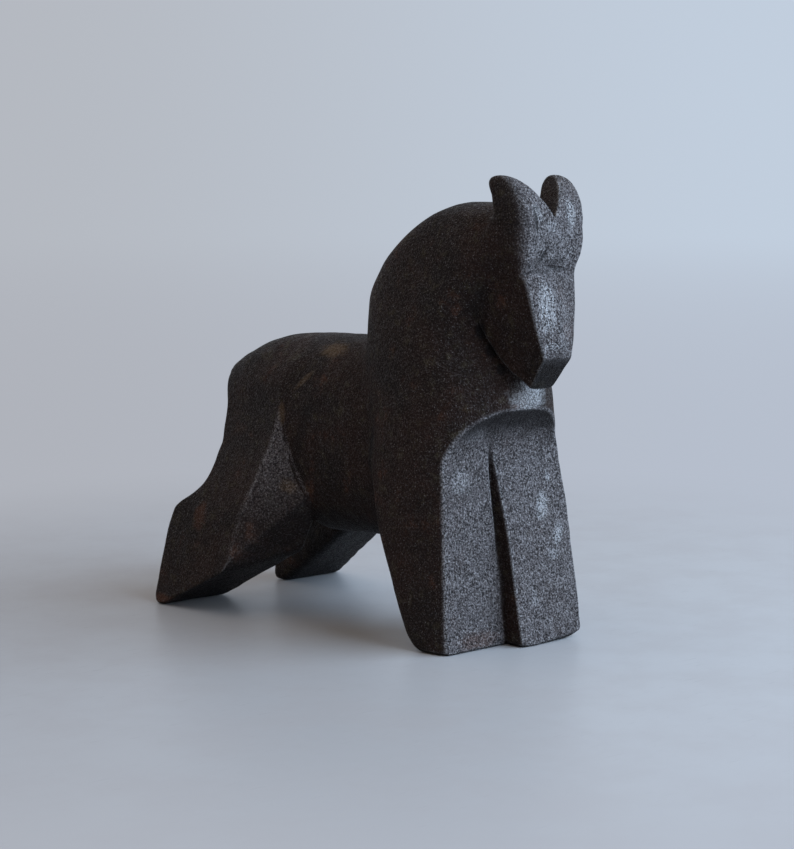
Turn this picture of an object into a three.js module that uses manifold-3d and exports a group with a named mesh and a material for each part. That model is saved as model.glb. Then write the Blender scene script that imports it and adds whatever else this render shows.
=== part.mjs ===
// Ceramic goat figurine in dark grogged stoneware, standing on four feet.
// The animal faces -Y, its left side is +X and the table is z = 0. All sizes are in millimetres.
// It is formed as seven clay sections that are luted together: forequarters, barrel, two
// hindquarters, head and two horns.
import * as THREE from 'three';
import Module from 'manifold-3d';
import { mergeVertices } from 'three/addons/utils/BufferGeometryUtils.js';

const wasm = await Module();
wasm.setup();

// Driving dimensions of the whole animal; the places of its sections follow from them
const NECK_HEIGHT = 188.4;
const FORE_DEPTH = 77;
const FORE_HALF_WIDTH = 38;
const BODY_LENGTH = 169;
const BACK_HEIGHT = 128;
const BELLY_HEIGHT = 37.5;
const TRUNK_HALF_WIDTH = 31;
const HIND_HALF_WIDTH = 58.4;
const HEAD_LENGTH = 71.4;
const HEAD_DEPTH = 31;
const HEAD_HALF_WIDTH = 19;
const HORN_LENGTH = 17;
const LUTING_GAP = 0.3;

// Forelegs: the left front facet stands ahead of the right one, and an arch closes both above
const RIGHT_FACET_Y = 5;
const RIGHT_FACET_LEAN = 0.032;
const LEFT_FACET_Y = -5.2;
const LEFT_FACET_LEAN = 0.128;
const LEFT_FACET_KNEE = 46;
const FORE_STRIDE = 11;
const FORE_STRIDE_TOP = 88;
const GROOVE_X = 3;
const GROOVE_LEAN = -0.065;
const COVE_RADIUS = 23;
const COVE_START = 81;
const COVE_Y = 7.6;
const ARCH_DROP = 5;
const FACET_SHIFT = 2.1;

// Haunches: proud of the flanks, under a seam that falls to the rear, drawn in towards the rump
const HAUNCH_PROUD = 0.9;
const HIP_DROP = 15;
const HIP_FALL = 0.2;
const FLANK_TAPER = 0.14;
const RUMP_INSET = 1.8;

// Hind legs: inner faces, the left foot's stride and the planed faces
const HIND_INNER_X = 20;
const HIND_STRIDE = 8;
const HIND_STRIDE_TOP = 90;
const RIGHT_UNDER = { y: 172, rise: 0.5 };
const LEFT_UNDER = { y: 178.5, rise: 0.68 };
const THIGH_FACET = { x: -30, y: 116.6, z: 96, normal: [-0.678, -0.728, 0.1] };
const STIFLE_FACET = { x: -22, y: 103, z: 51.5, normal: [-0.304, -0.829, -0.469] };

// Head: how it hangs on the neck, keel along the nose, flare of the cheeks, chamfered muzzle
const CROWN_DROP = 5.4;
const FACE_LEAD = 12.2;
const NOSE_KEEL = 2.5;
const CHEEK_FLARE = 0.1;
const MUZZLE_LENGTH = 13.7;
const MUZZLE_LEAD = 2.4;
const MUZZLE_SLOPE = 0.73;

// Horns: how far each opens to the rear, and how steeply the V between them is cut
const HORN_TOE_OUT = 0.3;
const HORN_V = 0.75;

// Softness of the hand-worked edges
const HORN_EDGE = 5;
const REAR_EDGE = 4;
const JAW_EDGE = 4;
const THIGH_EDGE = 3;
const FACE_EDGE = 2.5;

// Mesh fineness: samples round each ring, how little a turn draws them together, and steps across
// the arch
const TURN_WEIGHT = 9;
const ARCH_STEPS = 10;
const FORE_SIDES = 44;
const TRUNK_SIDES = 36;
const HIND_SIDES = 32;
const HEAD_SIDES = 34;
const HORN_SIDES = 20;

// Places that follow from the sizes, and a length that is clear of the whole animal
const HORN_SEAM = NECK_HEIGHT - CROWN_DROP;
const CHIN = HORN_SEAM - HEAD_LENGTH;
const HIP_SEAM = BACK_HEIGHT - HIP_DROP;
const HAUNCH_FRONT = 0.544 * BODY_LENGTH;
const HAUNCH_CORE = 0.781 * BODY_LENGTH;
const CLEAR = 3 * (HORN_SEAM + HORN_LENGTH);

const CLAY = { color: 0x221c19, roughness: 0.72, metalness: 0.0 };

const X = new THREE.Vector3(1, 0, 0);
const Y = new THREE.Vector3(0, 1, 0);
const Z = new THREE.Vector3(0, 0, 1);

// A smooth curve through a few [place, value] stations, straight beyond its ends
function through(...stations) {
  const at = stations.map((s) => s[0]);
  const value = stations.map((s) => s[1]);
  const last = at.length - 1;
  const slope = at.map((_, i) => {
    const a = Math.max(i - 1, 0);
    const b = Math.min(i + 1, last);
    const before = (value[i] - value[a]) / (at[i] - at[a] || 1);
    const after = (value[b] - value[i]) / (at[b] - at[i] || 1);
    if (i === 0) return after;
    if (i === last) return before;
    return before * after > 0 ? (2 * before * after) / (before + after) : 0;
  });
  return (t) => {
    if (t <= at[0]) return value[0] + slope[0] * (t - at[0]);
    if (t >= at[last]) return value[last] + slope[last] * (t - at[last]);
    const i = at.findIndex((p, j) => t < at[j + 1]);
    const h = at[i + 1] - at[i];
    const s = (t - at[i]) / h;
    const rise = value[i + 1] - value[i];
    const c = (3 * rise) / h - 2 * slope[i] - slope[i + 1];
    const d = slope[i] + slope[i + 1] - (2 * rise) / h;
    return value[i] + h * s * (slope[i] + s * (c + s * d));
  };
}

// A profile: its places are shares of a section's length, its values shares of one of its sizes
function profile(length, size, ...stations) {
  return through(...stations.map(([place, value]) => [place * length, value * size]));
}

// A share that rises from 0 to 1 between two places
function ramp(from, to, t) {
  return THREE.MathUtils.clamp((t - from) / (to - from), 0, 1);
}

// The larger of two distances, with the edge between their faces rounded over a width
function round(a, b, width) {
  const h = Math.max(width - Math.abs(a - b), 0) / width;
  return Math.max(a, b) + h * h * width * 0.25;
}

// Signed distance of an oval with separate half sizes on its two sides along v
function oval(u, v, halfU, halfLow, halfHigh, power) {
  const halfV = v < 0 ? halfLow : halfHigh;
  const reach = (Math.abs(u) / halfU) ** power + (Math.abs(v) / halfV) ** power;
  return (reach ** (1 / power) - 1) * Math.min(halfU, halfV);
}

// Distance from a centre along a ray to the zero level of a field
function surfaceAlong(field, from, direction, grow) {
  const point = from.clone();
  const value = (r) => field(point.copy(from).addScaledVector(direction, r)) - grow;
  const stride = 1.5;
  let outer = stride;
  while (value(outer) < 0 && outer < CLEAR) outer += stride;
  let inner = Math.max(outer - stride, 0.01);
  for (let i = 0; i < 24; i += 1) {
    const middle = (inner + outer) / 2;
    if (value(middle) < 0) inner = middle;
    else outer = middle;
  }
  return inner;
}

// One ring of a loft, its points drawn together where the outline turns
function ring(field, from, across, up, sides, grow) {
  const fine = 4 * sides;
  const dense = Array.from({ length: fine }, (_, i) => {
    const angle = (i / fine) * 2 * Math.PI;
    const direction = across.clone().multiplyScalar(Math.cos(angle)).addScaledVector(up, Math.sin(angle));
    return from.clone().addScaledVector(direction, surfaceAlong(field, from, direction, grow));
  });
  const step = dense.map((p, i) => dense[(i + 1) % fine].clone().sub(p));
  const total = step.reduce((sum, d) => sum + d.length(), 0);
  const share = step.map((d, i) => d.length() / total + d.angleTo(step[(i + fine - 1) % fine]) / TURN_WEIGHT);
  const full = share.reduce((sum, w) => sum + w, 0);
  const points = [];
  let passed = 0;
  share.forEach((w, i) => {
    while (points.length < sides && (points.length / sides) * full < passed + w) {
      const t = ((points.length / sides) * full - passed) / w;
      points.push(dense[i].clone().addScaledVector(step[i], t));
    }
    passed += w;
  });
  return points;
}

// A loft: one ring per station round a centre line, closed by a fan at each end
function loft({ field, centre, across, up, stations, sides, grow = 0 }) {
  const points = stations.flatMap((station) => ring(field, centre(station), across, up, sides, grow));
  const faces = [];
  for (let j = 0; j < stations.length - 1; j += 1) {
    for (let i = 0; i < sides; i += 1) {
      const a = j * sides + i;
      const b = j * sides + ((i + 1) % sides);
      faces.push([a, b, b + sides], [a, b + sides, a + sides]);
    }
  }
  const low = points.push(centre(stations[0])) - 1;
  const high = points.push(centre(stations[stations.length - 1])) - 1;
  const top = (stations.length - 1) * sides;
  for (let i = 0; i < sides; i += 1) {
    const next = (i + 1) % sides;
    faces.push([low, next, i], [high, top + i, top + next]);
  }
  return solid(points, faces);
}

// A closed triangle mesh as a solid; it is turned inside out where its faces point inwards
function solid(points, faces) {
  const volume = faces.reduce((sum, [a, b, c]) => {
    return sum + points[a].dot(points[b].clone().cross(points[c]));
  }, 0);
  const triVerts = new Uint32Array(faces.flatMap(([a, b, c]) => (volume > 0 ? [a, b, c] : [a, c, b])));
  const vertProperties = new Float32Array(points.flatMap((p) => [p.x, p.y, p.z]));
  const mesh = new wasm.Mesh({ numProp: 3, vertProperties, triVerts });
  mesh.merge();
  return new wasm.Manifold(mesh);
}

// A three.js geometry as a solid
function fromGeometry(geometry) {
  geometry.deleteAttribute('normal');
  geometry.deleteAttribute('uv');
  const merged = mergeVertices(geometry, 1e-4);
  const position = merged.attributes.position;
  const points = Array.from({ length: position.count }, (_, i) => {
    return new THREE.Vector3().fromBufferAttribute(position, i);
  });
  const index = merged.index.array;
  const faces = Array.from({ length: index.length / 3 }, (_, i) => Array.from(index.slice(3 * i, 3 * i + 3)));
  return solid(points, faces);
}

// Everything in front of a plane, as a large block whose near face lies on that plane
function beyond(point, normal) {
  const toward = new THREE.Vector3(...normal).normalize();
  const block = new THREE.BoxGeometry(CLEAR, CLEAR, CLEAR);
  block.translate(0, 0, CLEAR / 2);
  block.applyQuaternion(new THREE.Quaternion().setFromUnitVectors(Z, toward));
  block.translate(...point);
  return fromGeometry(block);
}

// An outline drawn in the side view, stretched across the animal from one x to another
function barAcross(outline, fromX, toX, steps = 1) {
  const options = { depth: toX - fromX, steps, bevelEnabled: false, curveSegments: 10 };
  const bar = new THREE.ExtrudeGeometry(outline, options);
  bar.applyMatrix4(new THREE.Matrix4().makeBasis(Y, Z, X));
  return bar.translate(fromX, 0, 0);
}

// Evenly spaced stations, or drawn together towards the far end
function spaced(from, to, count, crowd = 1) {
  return Array.from({ length: count + 1 }, (_, i) => from + (to - from) * (1 - (1 - i / count) ** crowd));
}

// Forequarters: an egg-shaped section at each height, square at the feet and round in the neck.
// Its front, middle and ridge are read along the animal, from the front of the feet to the withers.
const fore = {
  halfWidth: profile(NECK_HEIGHT, FORE_HALF_WIDTH, [0, 0.953], [0.019, 1], [0.319, 0.984], [0.478, 0.947],
    [0.664, 0.837], [0.77, 0.75], [0.849, 0.658], [0.913, 0.579], [0.966, 0.461], [0.993, 0.263], [1, 0.105]),
  middle: profile(NECK_HEIGHT, FORE_DEPTH, [0, 0.117], [0.112, 0.182], [0.25, 0.286], [0.398, 0.351],
    [0.531, 0.39], [0.664, 0.39], [0.849, 0.338], [0.913, 0.312], [1, 0.26]),
  ridge: profile(NECK_HEIGHT, FORE_DEPTH, [0, 0.308], [0.037, 0.409], [0.112, 0.506], [0.25, 0.662],
    [0.398, 0.779], [0.478, 0.87], [0.557, 0.935], [0.674, 1], [0.77, 0.987], [0.849, 0.883],
    [0.913, 0.717], [0.966, 0.532], [0.993, 0.383], [1, 0.312]),
  front: profile(NECK_HEIGHT, FORE_DEPTH, [0, 0.026], [0.25, 0.023], [0.409, -0.03], [0.488, -0.078],
    [0.568, -0.078], [0.626, -0.045], [0.674, 0.013], [0.733, 0.065], [0.786, 0.013], [0.849, -0.078],
    [0.913, -0.143], [0.971, -0.156], [0.993, -0.104], [1, 0.182]),
  power: profile(NECK_HEIGHT, 1, [0, 4.2], [0.25, 4], [0.409, 3.6], [0.488, 2.5], [0.674, 2.5],
    [0.77, 2.8], [0.849, 3.2], [0.913, 3.5], [0.966, 3], [1, 2.4]),
};

// The left foreleg stands a stride ahead of the right one; the lead fades out at the arch.
// The front of the rings is shifted to the left, which puts the outer edges of the facets there.
function foreField(p) {
  const half = 0.32 * FORE_HALF_WIDTH;
  const lead = FORE_STRIDE * Math.max(1 - p.z / FORE_STRIDE_TOP, 0) * ramp(-half, half, p.x);
  const middle = fore.middle(p.z);
  const toFront = middle - fore.front(p.z);
  const toRidge = fore.ridge(p.z) - middle;
  const along = p.y + lead - middle;
  const below = ramp(0.64 * NECK_HEIGHT, 0.48 * NECK_HEIGHT, p.z);
  const shift = FACET_SHIFT * ramp(0, toFront, -along) * below;
  return oval(p.x - shift, along, fore.halfWidth(p.z), toFront, toRidge, fore.power(p.z));
}

function foreBlock(grow) {
  return loft({
    field: foreField,
    centre: (z) => new THREE.Vector3(0, fore.middle(z), z),
    across: X,
    up: Y,
    stations: spaced(0, NECK_HEIGHT, 32, 1.25),
    sides: FORE_SIDES,
    grow,
  });
}

// Bends a bar down towards both sides above the knee, so that its cove arches over the legs
function arched(bar) {
  const place = bar.attributes.position;
  for (let i = 0; i < place.count; i += 1) {
    const drop = ARCH_DROP * (place.getX(i) / FORE_HALF_WIDTH) ** 2;
    place.setZ(i, place.getZ(i) - drop * ramp(LEFT_FACET_KNEE, COVE_START, place.getZ(i)));
  }
  return bar;
}

// The scraper that planes a foreleg's front facet and ends in the cove under the chest
function facetScraper(facetY, lean, fromX, toX) {
  const outline = new THREE.Shape();
  const floor = -5;
  outline.moveTo(-CLEAR, floor);
  outline.lineTo(facetY + lean * floor, floor);
  outline.lineTo(facetY + lean * LEFT_FACET_KNEE, LEFT_FACET_KNEE);
  outline.lineTo(COVE_Y, COVE_START);
  outline.absarc(COVE_Y - COVE_RADIUS, COVE_START, COVE_RADIUS, 0, Math.PI / 2, false);
  outline.lineTo(-CLEAR, COVE_START + COVE_RADIUS);
  outline.closePath();
  const sloped = new THREE.Matrix4().set(1, 0, GROOVE_LEAN, GROOVE_X, 0, 1, 0, 0, 0, 0, 1, 0, 0, 0, 0, 1);
  const steps = Math.round((ARCH_STEPS * (toX - fromX)) / (2 * FORE_HALF_WIDTH));
  return fromGeometry(arched(barAcross(outline, fromX, toX, steps)).applyMatrix4(sloped));
}

function forequarters() {
  const side = 2 * FORE_HALF_WIDTH;
  return foreBlock(0)
    .subtract(facetScraper(RIGHT_FACET_Y, RIGHT_FACET_LEAN, -side, 0))
    .subtract(facetScraper(LEFT_FACET_Y, LEFT_FACET_LEAN, -side, side));
}

// Trunk: an oval section at each place along the back, tapering to the rump.
// Its half width comes from the shoulders in front and from the flanks behind them.
const trunk = {
  top: profile(BODY_LENGTH, BACK_HEIGHT, [0.118, 0.984], [0.414, 1], [0.562, 1], [0.68, 0.996],
    [0.799, 0.984], [0.888, 0.953], [0.959, 0.91], [1, 0.863], [1.077, 0.805]),
  bottom: profile(BODY_LENGTH, BELLY_HEIGHT, [0.118, 1.093], [0.45, 1.053], [0.627, 1], [0.728, 1.307],
    [0.828, 1.6], [1, 1.867]),
  halfWidth: through([0.118 * BODY_LENGTH, 0.895 * FORE_HALF_WIDTH],
    [0.296 * BODY_LENGTH, 0.868 * FORE_HALF_WIDTH], [0.385 * BODY_LENGTH, 0.984 * TRUNK_HALF_WIDTH],
    [0.473 * BODY_LENGTH, 0.968 * TRUNK_HALF_WIDTH], [0.651 * BODY_LENGTH, TRUNK_HALF_WIDTH],
    [1.124 * BODY_LENGTH, TRUNK_HALF_WIDTH]),
  power: 2.5,
};

// Height of the trunk's widest line
function trunkMiddle(y) {
  return trunk.bottom(y) + (trunk.top(y) - trunk.bottom(y)) * 0.52;
}

// Half width of the trunk; its flanks draw in towards the rump, above the thighs
function flankHalfWidth(y, z) {
  const above = ramp(0.352 * BACK_HEIGHT, 0.586 * BACK_HEIGHT, z);
  return trunk.halfWidth(y) - FLANK_TAPER * Math.max(y - 0.686 * BODY_LENGTH, 0) * above;
}

function trunkField(p) {
  const middle = trunkMiddle(p.y);
  const down = middle - trunk.bottom(p.y);
  return oval(p.x, p.z - middle, flankHalfWidth(p.y, p.z), down, trunk.top(p.y) - middle, trunk.power);
}

// Rear outline of rump and hind leg, seen from the side
const rearY = profile(BACK_HEIGHT, BODY_LENGTH, [0, 1.05], [0.031, 1.062], [0.258, 1.062], [0.34, 1.05],
  [0.367, 1.033], [0.41, 0.988], [0.445, 0.959], [0.492, 0.945], [0.563, 0.944], [0.719, 0.965],
  [0.828, 1], [0.922, 1.036]);

// A bar with the rear outline, right across, that trims the end of the trunk
function rumpScraper() {
  const outline = new THREE.Shape();
  const [low, high] = [0.31 * BACK_HEIGHT, 1.1 * BACK_HEIGHT];
  outline.moveTo(CLEAR, low);
  outline.lineTo(CLEAR, high);
  spaced(high, low, 30).forEach((z) => outline.lineTo(rearY(z) - RUMP_INSET, z));
  outline.closePath();
  return fromGeometry(barAcross(outline, -2 * TRUNK_HALF_WIDTH, 2 * TRUNK_HALF_WIDTH));
}

function barrel() {
  const block = loft({
    field: trunkField,
    centre: (y) => new THREE.Vector3(0, y, trunkMiddle(y)),
    across: X,
    up: Z,
    stations: spaced(0.31 * FORE_DEPTH, 1.065 * BODY_LENGTH, 28),
    sides: TRUNK_SIDES,
  });
  return block
    .subtract(rumpScraper())
    .subtract(foreBlock(LUTING_GAP))
    .subtract(hindquarter(1, LUTING_GAP))
    .subtract(hindquarter(-1, LUTING_GAP));
}

// Hindquarters: a bell-shaped outer face that spreads from the flank down to the foot
const bell = profile(BACK_HEIGHT, 1, [0, 1], [0.227, 0.74], [0.336, 0.608], [0.43, 0.475], [0.508, 0.343],
  [0.625, 0.147], [0.75, 0], [1, 0]);

function hindField(stride) {
  const foot = HIND_HALF_WIDTH - TRUNK_HALF_WIDTH - HAUNCH_PROUD;
  return (p) => {
    const depth = Math.abs(p.x);
    const middle = trunkMiddle(p.y);
    const lift = Math.max(p.z - middle, 0);
    const flank = flankHalfWidth(Math.max(p.y, 0.651 * BODY_LENGTH), p.z) + HAUNCH_PROUD;
    const outer = oval(depth, lift, flank + foot * bell(p.z), 1, trunk.top(p.y) - middle, trunk.power);
    const rear = p.y - stride * Math.max(1 - p.z / HIND_STRIDE_TOP, 0) - rearY(p.z);
    const inner = HIND_INNER_X - depth;
    const front = HAUNCH_FRONT - p.y;
    return round(round(round(outer, rear, REAR_EDGE), inner, FACE_EDGE), front, THIGH_EDGE);
  };
}

// The block in front of a planed face of one hind leg, which is cut away
function planedOff({ x, y, z, normal }, side, grow) {
  const [nx, ny, nz] = normal;
  const out = new THREE.Vector3(-side * nx, ny, nz).setLength(grow);
  return beyond([-side * x + out.x, y + out.y, z + out.z], [-side * nx, ny, nz]);
}

function hindquarter(side, grow) {
  const left = side > 0;
  const block = loft({
    field: hindField(left ? HIND_STRIDE : 0),
    centre: (z) => new THREE.Vector3(side * (HIND_INNER_X + 2), HAUNCH_CORE, z),
    across: X,
    up: Y,
    stations: spaced(0, HIP_SEAM + 8, 28),
    sides: HIND_SIDES,
    grow,
  });
  const under = left ? LEFT_UNDER : RIGHT_UNDER;
  return block
    .subtract(planedOff(THIGH_FACET, side, grow))
    .subtract(planedOff(STIFLE_FACET, side, grow))
    .subtract(beyond([0, under.y, -grow], [0, -under.rise, -1]))
    .subtract(beyond([0, THIGH_FACET.y, HIP_SEAM + grow], [0, HIP_FALL, 1]));
}

// Head: a wedge that hangs in front of the neck, with a keeled nose and a brow crease.
// Heights are read up from the chin, and places along the animal back from the forehead.
const FACE_Y = fore.front(HORN_SEAM) - FACE_LEAD;
const head = {
  front: profile(HEAD_LENGTH, HEAD_DEPTH, [0, -0.13], [0.188, -0.084], [0.342, -0.032], [0.482, 0.013],
    [0.608, 0.065], [0.692, 0.103], [0.776, 0.065], [0.888, 0.019], [1, 0]),
  halfWidth: profile(HEAD_LENGTH, HEAD_HALF_WIDTH, [0, 0.267], [0.188, 0.432], [0.342, 0.579], [0.482, 0.684],
    [0.622, 0.758], [0.692, 0.789], [0.79, 0.916], [0.888, 0.995], [1, 1]),
  back: profile(HEAD_LENGTH, HEAD_DEPTH, [0, 0.283], [0.048, 0.394], [0.104, 0.587], [0.23, 0.813],
    [0.398, 0.994], [0.538, 0.926], [0.678, 0.845], [0.846, 0.668], [1, 0.619]),
  middle: profile(HEAD_LENGTH, HEAD_DEPTH, [0, 0.245], [0.104, 0.329], [0.23, 0.394], [0.468, 0.49],
    [1, 0.49]),
  keel: profile(HEAD_LENGTH, NOSE_KEEL, [0.188, 0], [0.328, 1], [0.538, 1], [0.692, 0.2], [0.888, 0.32],
    [1, 0]),
};

function headField(p) {
  const up = p.z - CHIN;
  const depth = p.y - FACE_Y - head.front(up);
  const halfWidth = head.halfWidth(up);
  const keel = head.keel(up) * (1 - Math.min(Math.abs(p.x) / halfWidth, 1));
  const side = Math.abs(p.x) - halfWidth - CHEEK_FLARE * depth;
  const back = p.y - FACE_Y - head.back(up);
  return round(round(-keel - depth, side, FACE_EDGE), back, JAW_EDGE);
}

function headBlock() {
  const block = loft({
    field: headField,
    centre: (z) => new THREE.Vector3(0, FACE_Y + head.middle(z - CHIN), z),
    across: X,
    up: Y,
    stations: spaced(CHIN, HORN_SEAM, 22),
    sides: HEAD_SIDES,
  });
  return block
    .subtract(beyond([0, FACE_Y - MUZZLE_LEAD, CHIN + MUZZLE_LENGTH], [0, -1, -MUZZLE_SLOPE]))
    .subtract(foreBlock(LUTING_GAP));
}

// Horns: rounded fins with a V between them, leaning back to their tips
const horn = {
  inner: profile(HORN_LENGTH, HEAD_HALF_WIDTH, [0, 0], [0.441, 0.211], [0.706, 0.368], [0.882, 0.526],
    [1, 0.658]),
  outer: profile(HORN_LENGTH, HEAD_HALF_WIDTH, [0, 1], [0.412, 0.995], [0.765, 0.968], [1, 0.895]),
  front: profile(HORN_LENGTH, HEAD_DEPTH, [0, 0], [0.265, 0.045], [0.471, 0.097], [0.647, 0.155],
    [0.882, 0.281], [1, 0.41]),
  back: profile(HORN_LENGTH, HEAD_DEPTH, [0, 0.606], [0.412, 0.665], [0.824, 0.742], [1, 0.668]),
};

function hornInner(up, y) {
  return horn.inner(up) + HORN_TOE_OUT * (y - FACE_Y - horn.front(up));
}

function hornField(side) {
  return (p) => {
    const up = p.z - HORN_SEAM;
    const inner = (hornInner(up, p.y) - side * p.x) * HORN_V;
    const outer = side * p.x - horn.outer(up);
    const front = FACE_Y + horn.front(up) - p.y;
    const back = p.y - FACE_Y - horn.back(up);
    return round(round(inner, outer, HORN_EDGE), round(front, back, HORN_EDGE), HORN_EDGE);
  };
}

function hornBlock(side) {
  const centre = (z) => {
    const up = z - HORN_SEAM;
    const y = FACE_Y + (horn.front(up) + horn.back(up)) / 2;
    return new THREE.Vector3((side * (hornInner(up, y) + horn.outer(up))) / 2, y, z);
  };
  const block = loft({
    field: hornField(side),
    centre,
    across: X,
    up: Y,
    stations: spaced(HORN_SEAM + LUTING_GAP, HORN_SEAM + HORN_LENGTH, 10, 1.5),
    sides: HORN_SIDES,
  });
  return block.subtract(foreBlock(LUTING_GAP));
}

const body = new THREE.Group();

function addSection(name, made) {
  const mesh = made.getMesh();
  const geometry = new THREE.BufferGeometry();
  geometry.setAttribute('position', new THREE.BufferAttribute(Float32Array.from(mesh.vertProperties), 3));
  geometry.setIndex(new THREE.BufferAttribute(Uint32Array.from(mesh.triVerts), 1));
  geometry.computeVertexNormals();
  const section = new THREE.Mesh(geometry, new THREE.MeshStandardMaterial(CLAY));
  section.name = name;
  body.add(section);
}

addSection('forequarters', forequarters());
addSection('barrel', barrel());
addSection('hindquarter_right', hindquarter(-1, 0));
addSection('hindquarter_left', hindquarter(1, 0));
addSection('head', headBlock());
addSection('horn_right', hornBlock(-1));
addSection('horn_left', hornBlock(1));

// The origin goes under the middle of the whole animal
const box = new THREE.Box3().setFromObject(body);
const centre = box.getCenter(new THREE.Vector3());
body.position.set(-centre.x, -centre.y, -box.min.z);

export default body;
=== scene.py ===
import logging
import math
from collections.abc import Callable, Sequence
from dataclasses import dataclass, field
from enum import Enum

import bpy
import numpy as np
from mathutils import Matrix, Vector


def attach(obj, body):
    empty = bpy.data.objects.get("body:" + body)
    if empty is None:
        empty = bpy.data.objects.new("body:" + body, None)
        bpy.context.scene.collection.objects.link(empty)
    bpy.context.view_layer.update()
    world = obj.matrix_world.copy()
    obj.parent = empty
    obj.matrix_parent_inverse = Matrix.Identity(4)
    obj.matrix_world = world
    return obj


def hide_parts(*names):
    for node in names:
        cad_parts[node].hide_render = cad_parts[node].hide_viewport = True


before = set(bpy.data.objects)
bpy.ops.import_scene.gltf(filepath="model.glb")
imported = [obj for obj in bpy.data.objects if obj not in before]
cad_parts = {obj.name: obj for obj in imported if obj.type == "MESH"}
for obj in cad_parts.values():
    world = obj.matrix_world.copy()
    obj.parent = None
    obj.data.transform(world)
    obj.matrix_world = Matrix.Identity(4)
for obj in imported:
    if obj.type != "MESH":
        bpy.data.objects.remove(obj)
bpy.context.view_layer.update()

log = logging.getLogger("goat")

Array = np.ndarray
Form = Callable[[Array], Array]
Triple = tuple[float, float, float]

# Two numbers, most often the places between which something comes in or fades out
Span = tuple[float, float]

# A plane, as a point on it and the way that it faces
Face = tuple[Triple, Triple]

# Where the animal's own origin, the middle line between its front feet, lies in the frame (mm)
FRAME_SHIFT = np.array([0.08, -79.63, 0.0])
MM = 0.001

# The most steps that a ray takes outwards, and the samples that crowded stations are read from
MOST_STEPS = 90
SAMPLES = 2000

# How points are spread along a row: the part of a turn that counts, and the rows it is evened over
TURN_PART = 9
EVENED_ROWS = 9

# The least squared distance that a curvature is worked out over (square mm)
LEAST_SPAN = 0.04


# Shapes as distances, and the ways that they join


def share(t: Array, low: float, high: float) -> Array:
    """Return 0 before low, 1 after high and a straight rise in between."""
    return np.clip((t - low) / (high - low), 0.0, 1.0)


def soft_max(a: Array, b: Array, width: float | Array) -> Array:
    """Join two distances by their larger one, with the edge between their faces rounded.

    Args:
        a: First distance.
        b: Second distance.
        width: How far apart the two may be and still be rounded.

    Returns:
        The larger distance plus a quarter of width times the squared closeness of the two.
    """
    gap = np.maximum(width - np.abs(a - b), 0.0) / width
    return np.maximum(a, b) + gap * gap * width * 0.25


def soft_min(a: Array, b: Array, width: float | Array) -> Array:
    """Join two distances by their smaller one, with the crease between them filled."""
    return -soft_max(-a, -b, width)


def plane(p: Array, through: Triple, normal: Triple) -> Array:
    """Return the distance in front of a plane, given by a point and the way that it faces."""
    facing = np.asarray(normal, float)
    return (p - np.asarray(through, float)) @ (facing / np.linalg.norm(facing))


def oval(u: Array, v: Array, half_u: Array, half_low: Array, half_high: Array, power: Array) -> Array:
    """Distance to an oval that has its own half size on each side along v.

    The oval is where |u / half_u|^power + |v / half_v|^power is 1. The power's root of that sum,
    less 1, is divided by its own slope, which makes it a distance near the outline.

    Args:
        u: Places across.
        v: Places along, measured from the widest line.
        half_u: Half width.
        half_low: Reach towards negative v.
        half_high: Reach towards positive v.
        power: 2 for an ellipse, more for a squarer outline.

    Returns:
        The distance, negative inside.
    """
    half_v = np.where(v < 0, half_low, half_high)
    a, b = np.abs(u) / half_u, np.abs(v) / half_v
    norm = np.maximum(a**power + b**power, 1e-9) ** (1 / power)
    slope = np.hypot((a / norm) ** (power - 1) / half_u, (b / norm) ** (power - 1) / half_v)
    return (norm - 1) / slope


@dataclass(frozen=True)
class Profile:
    """A smooth curve through stations given as shares of a length and of a size.

    It is a cubic between neighbouring stations, its slope at each the harmonic mean of the slopes
    beside it, and it runs on straight beyond its ends.
    """

    length: float
    size: float
    stations: tuple[tuple[float, float], ...]

    def __call__(self, t: Array) -> Array:
        """Read the curve.

        Args:
            t: Places along the length.

        Returns:
            The curve's value at each place.
        """
        at, value = (np.array(self.stations) * (self.length, self.size)).T
        rise = np.diff(value) / np.diff(at)
        before, after = rise[:-1], rise[1:]
        both = np.where(before + after == 0, 1.0, before + after)
        inner = np.where(before * after > 0, 2 * before * after / both, 0.0)
        slope = np.concatenate(([rise[0]], inner, [rise[-1]]))
        i = np.clip(np.searchsorted(at, t, side="right") - 1, 0, len(at) - 2)
        h = at[i + 1] - at[i]
        s = (t - at[i]) / h
        c = 3 * rise[i] - 2 * slope[i] - slope[i + 1]
        d = slope[i] + slope[i + 1] - 2 * rise[i]
        curve = value[i] + h * s * (slope[i] + s * (c + s * d))
        low = value[0] + slope[0] * (t - at[0])
        high = value[-1] + slope[-1] * (t - at[-1])
        return np.where(t <= at[0], low, np.where(t >= at[-1], high, curve))


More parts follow.
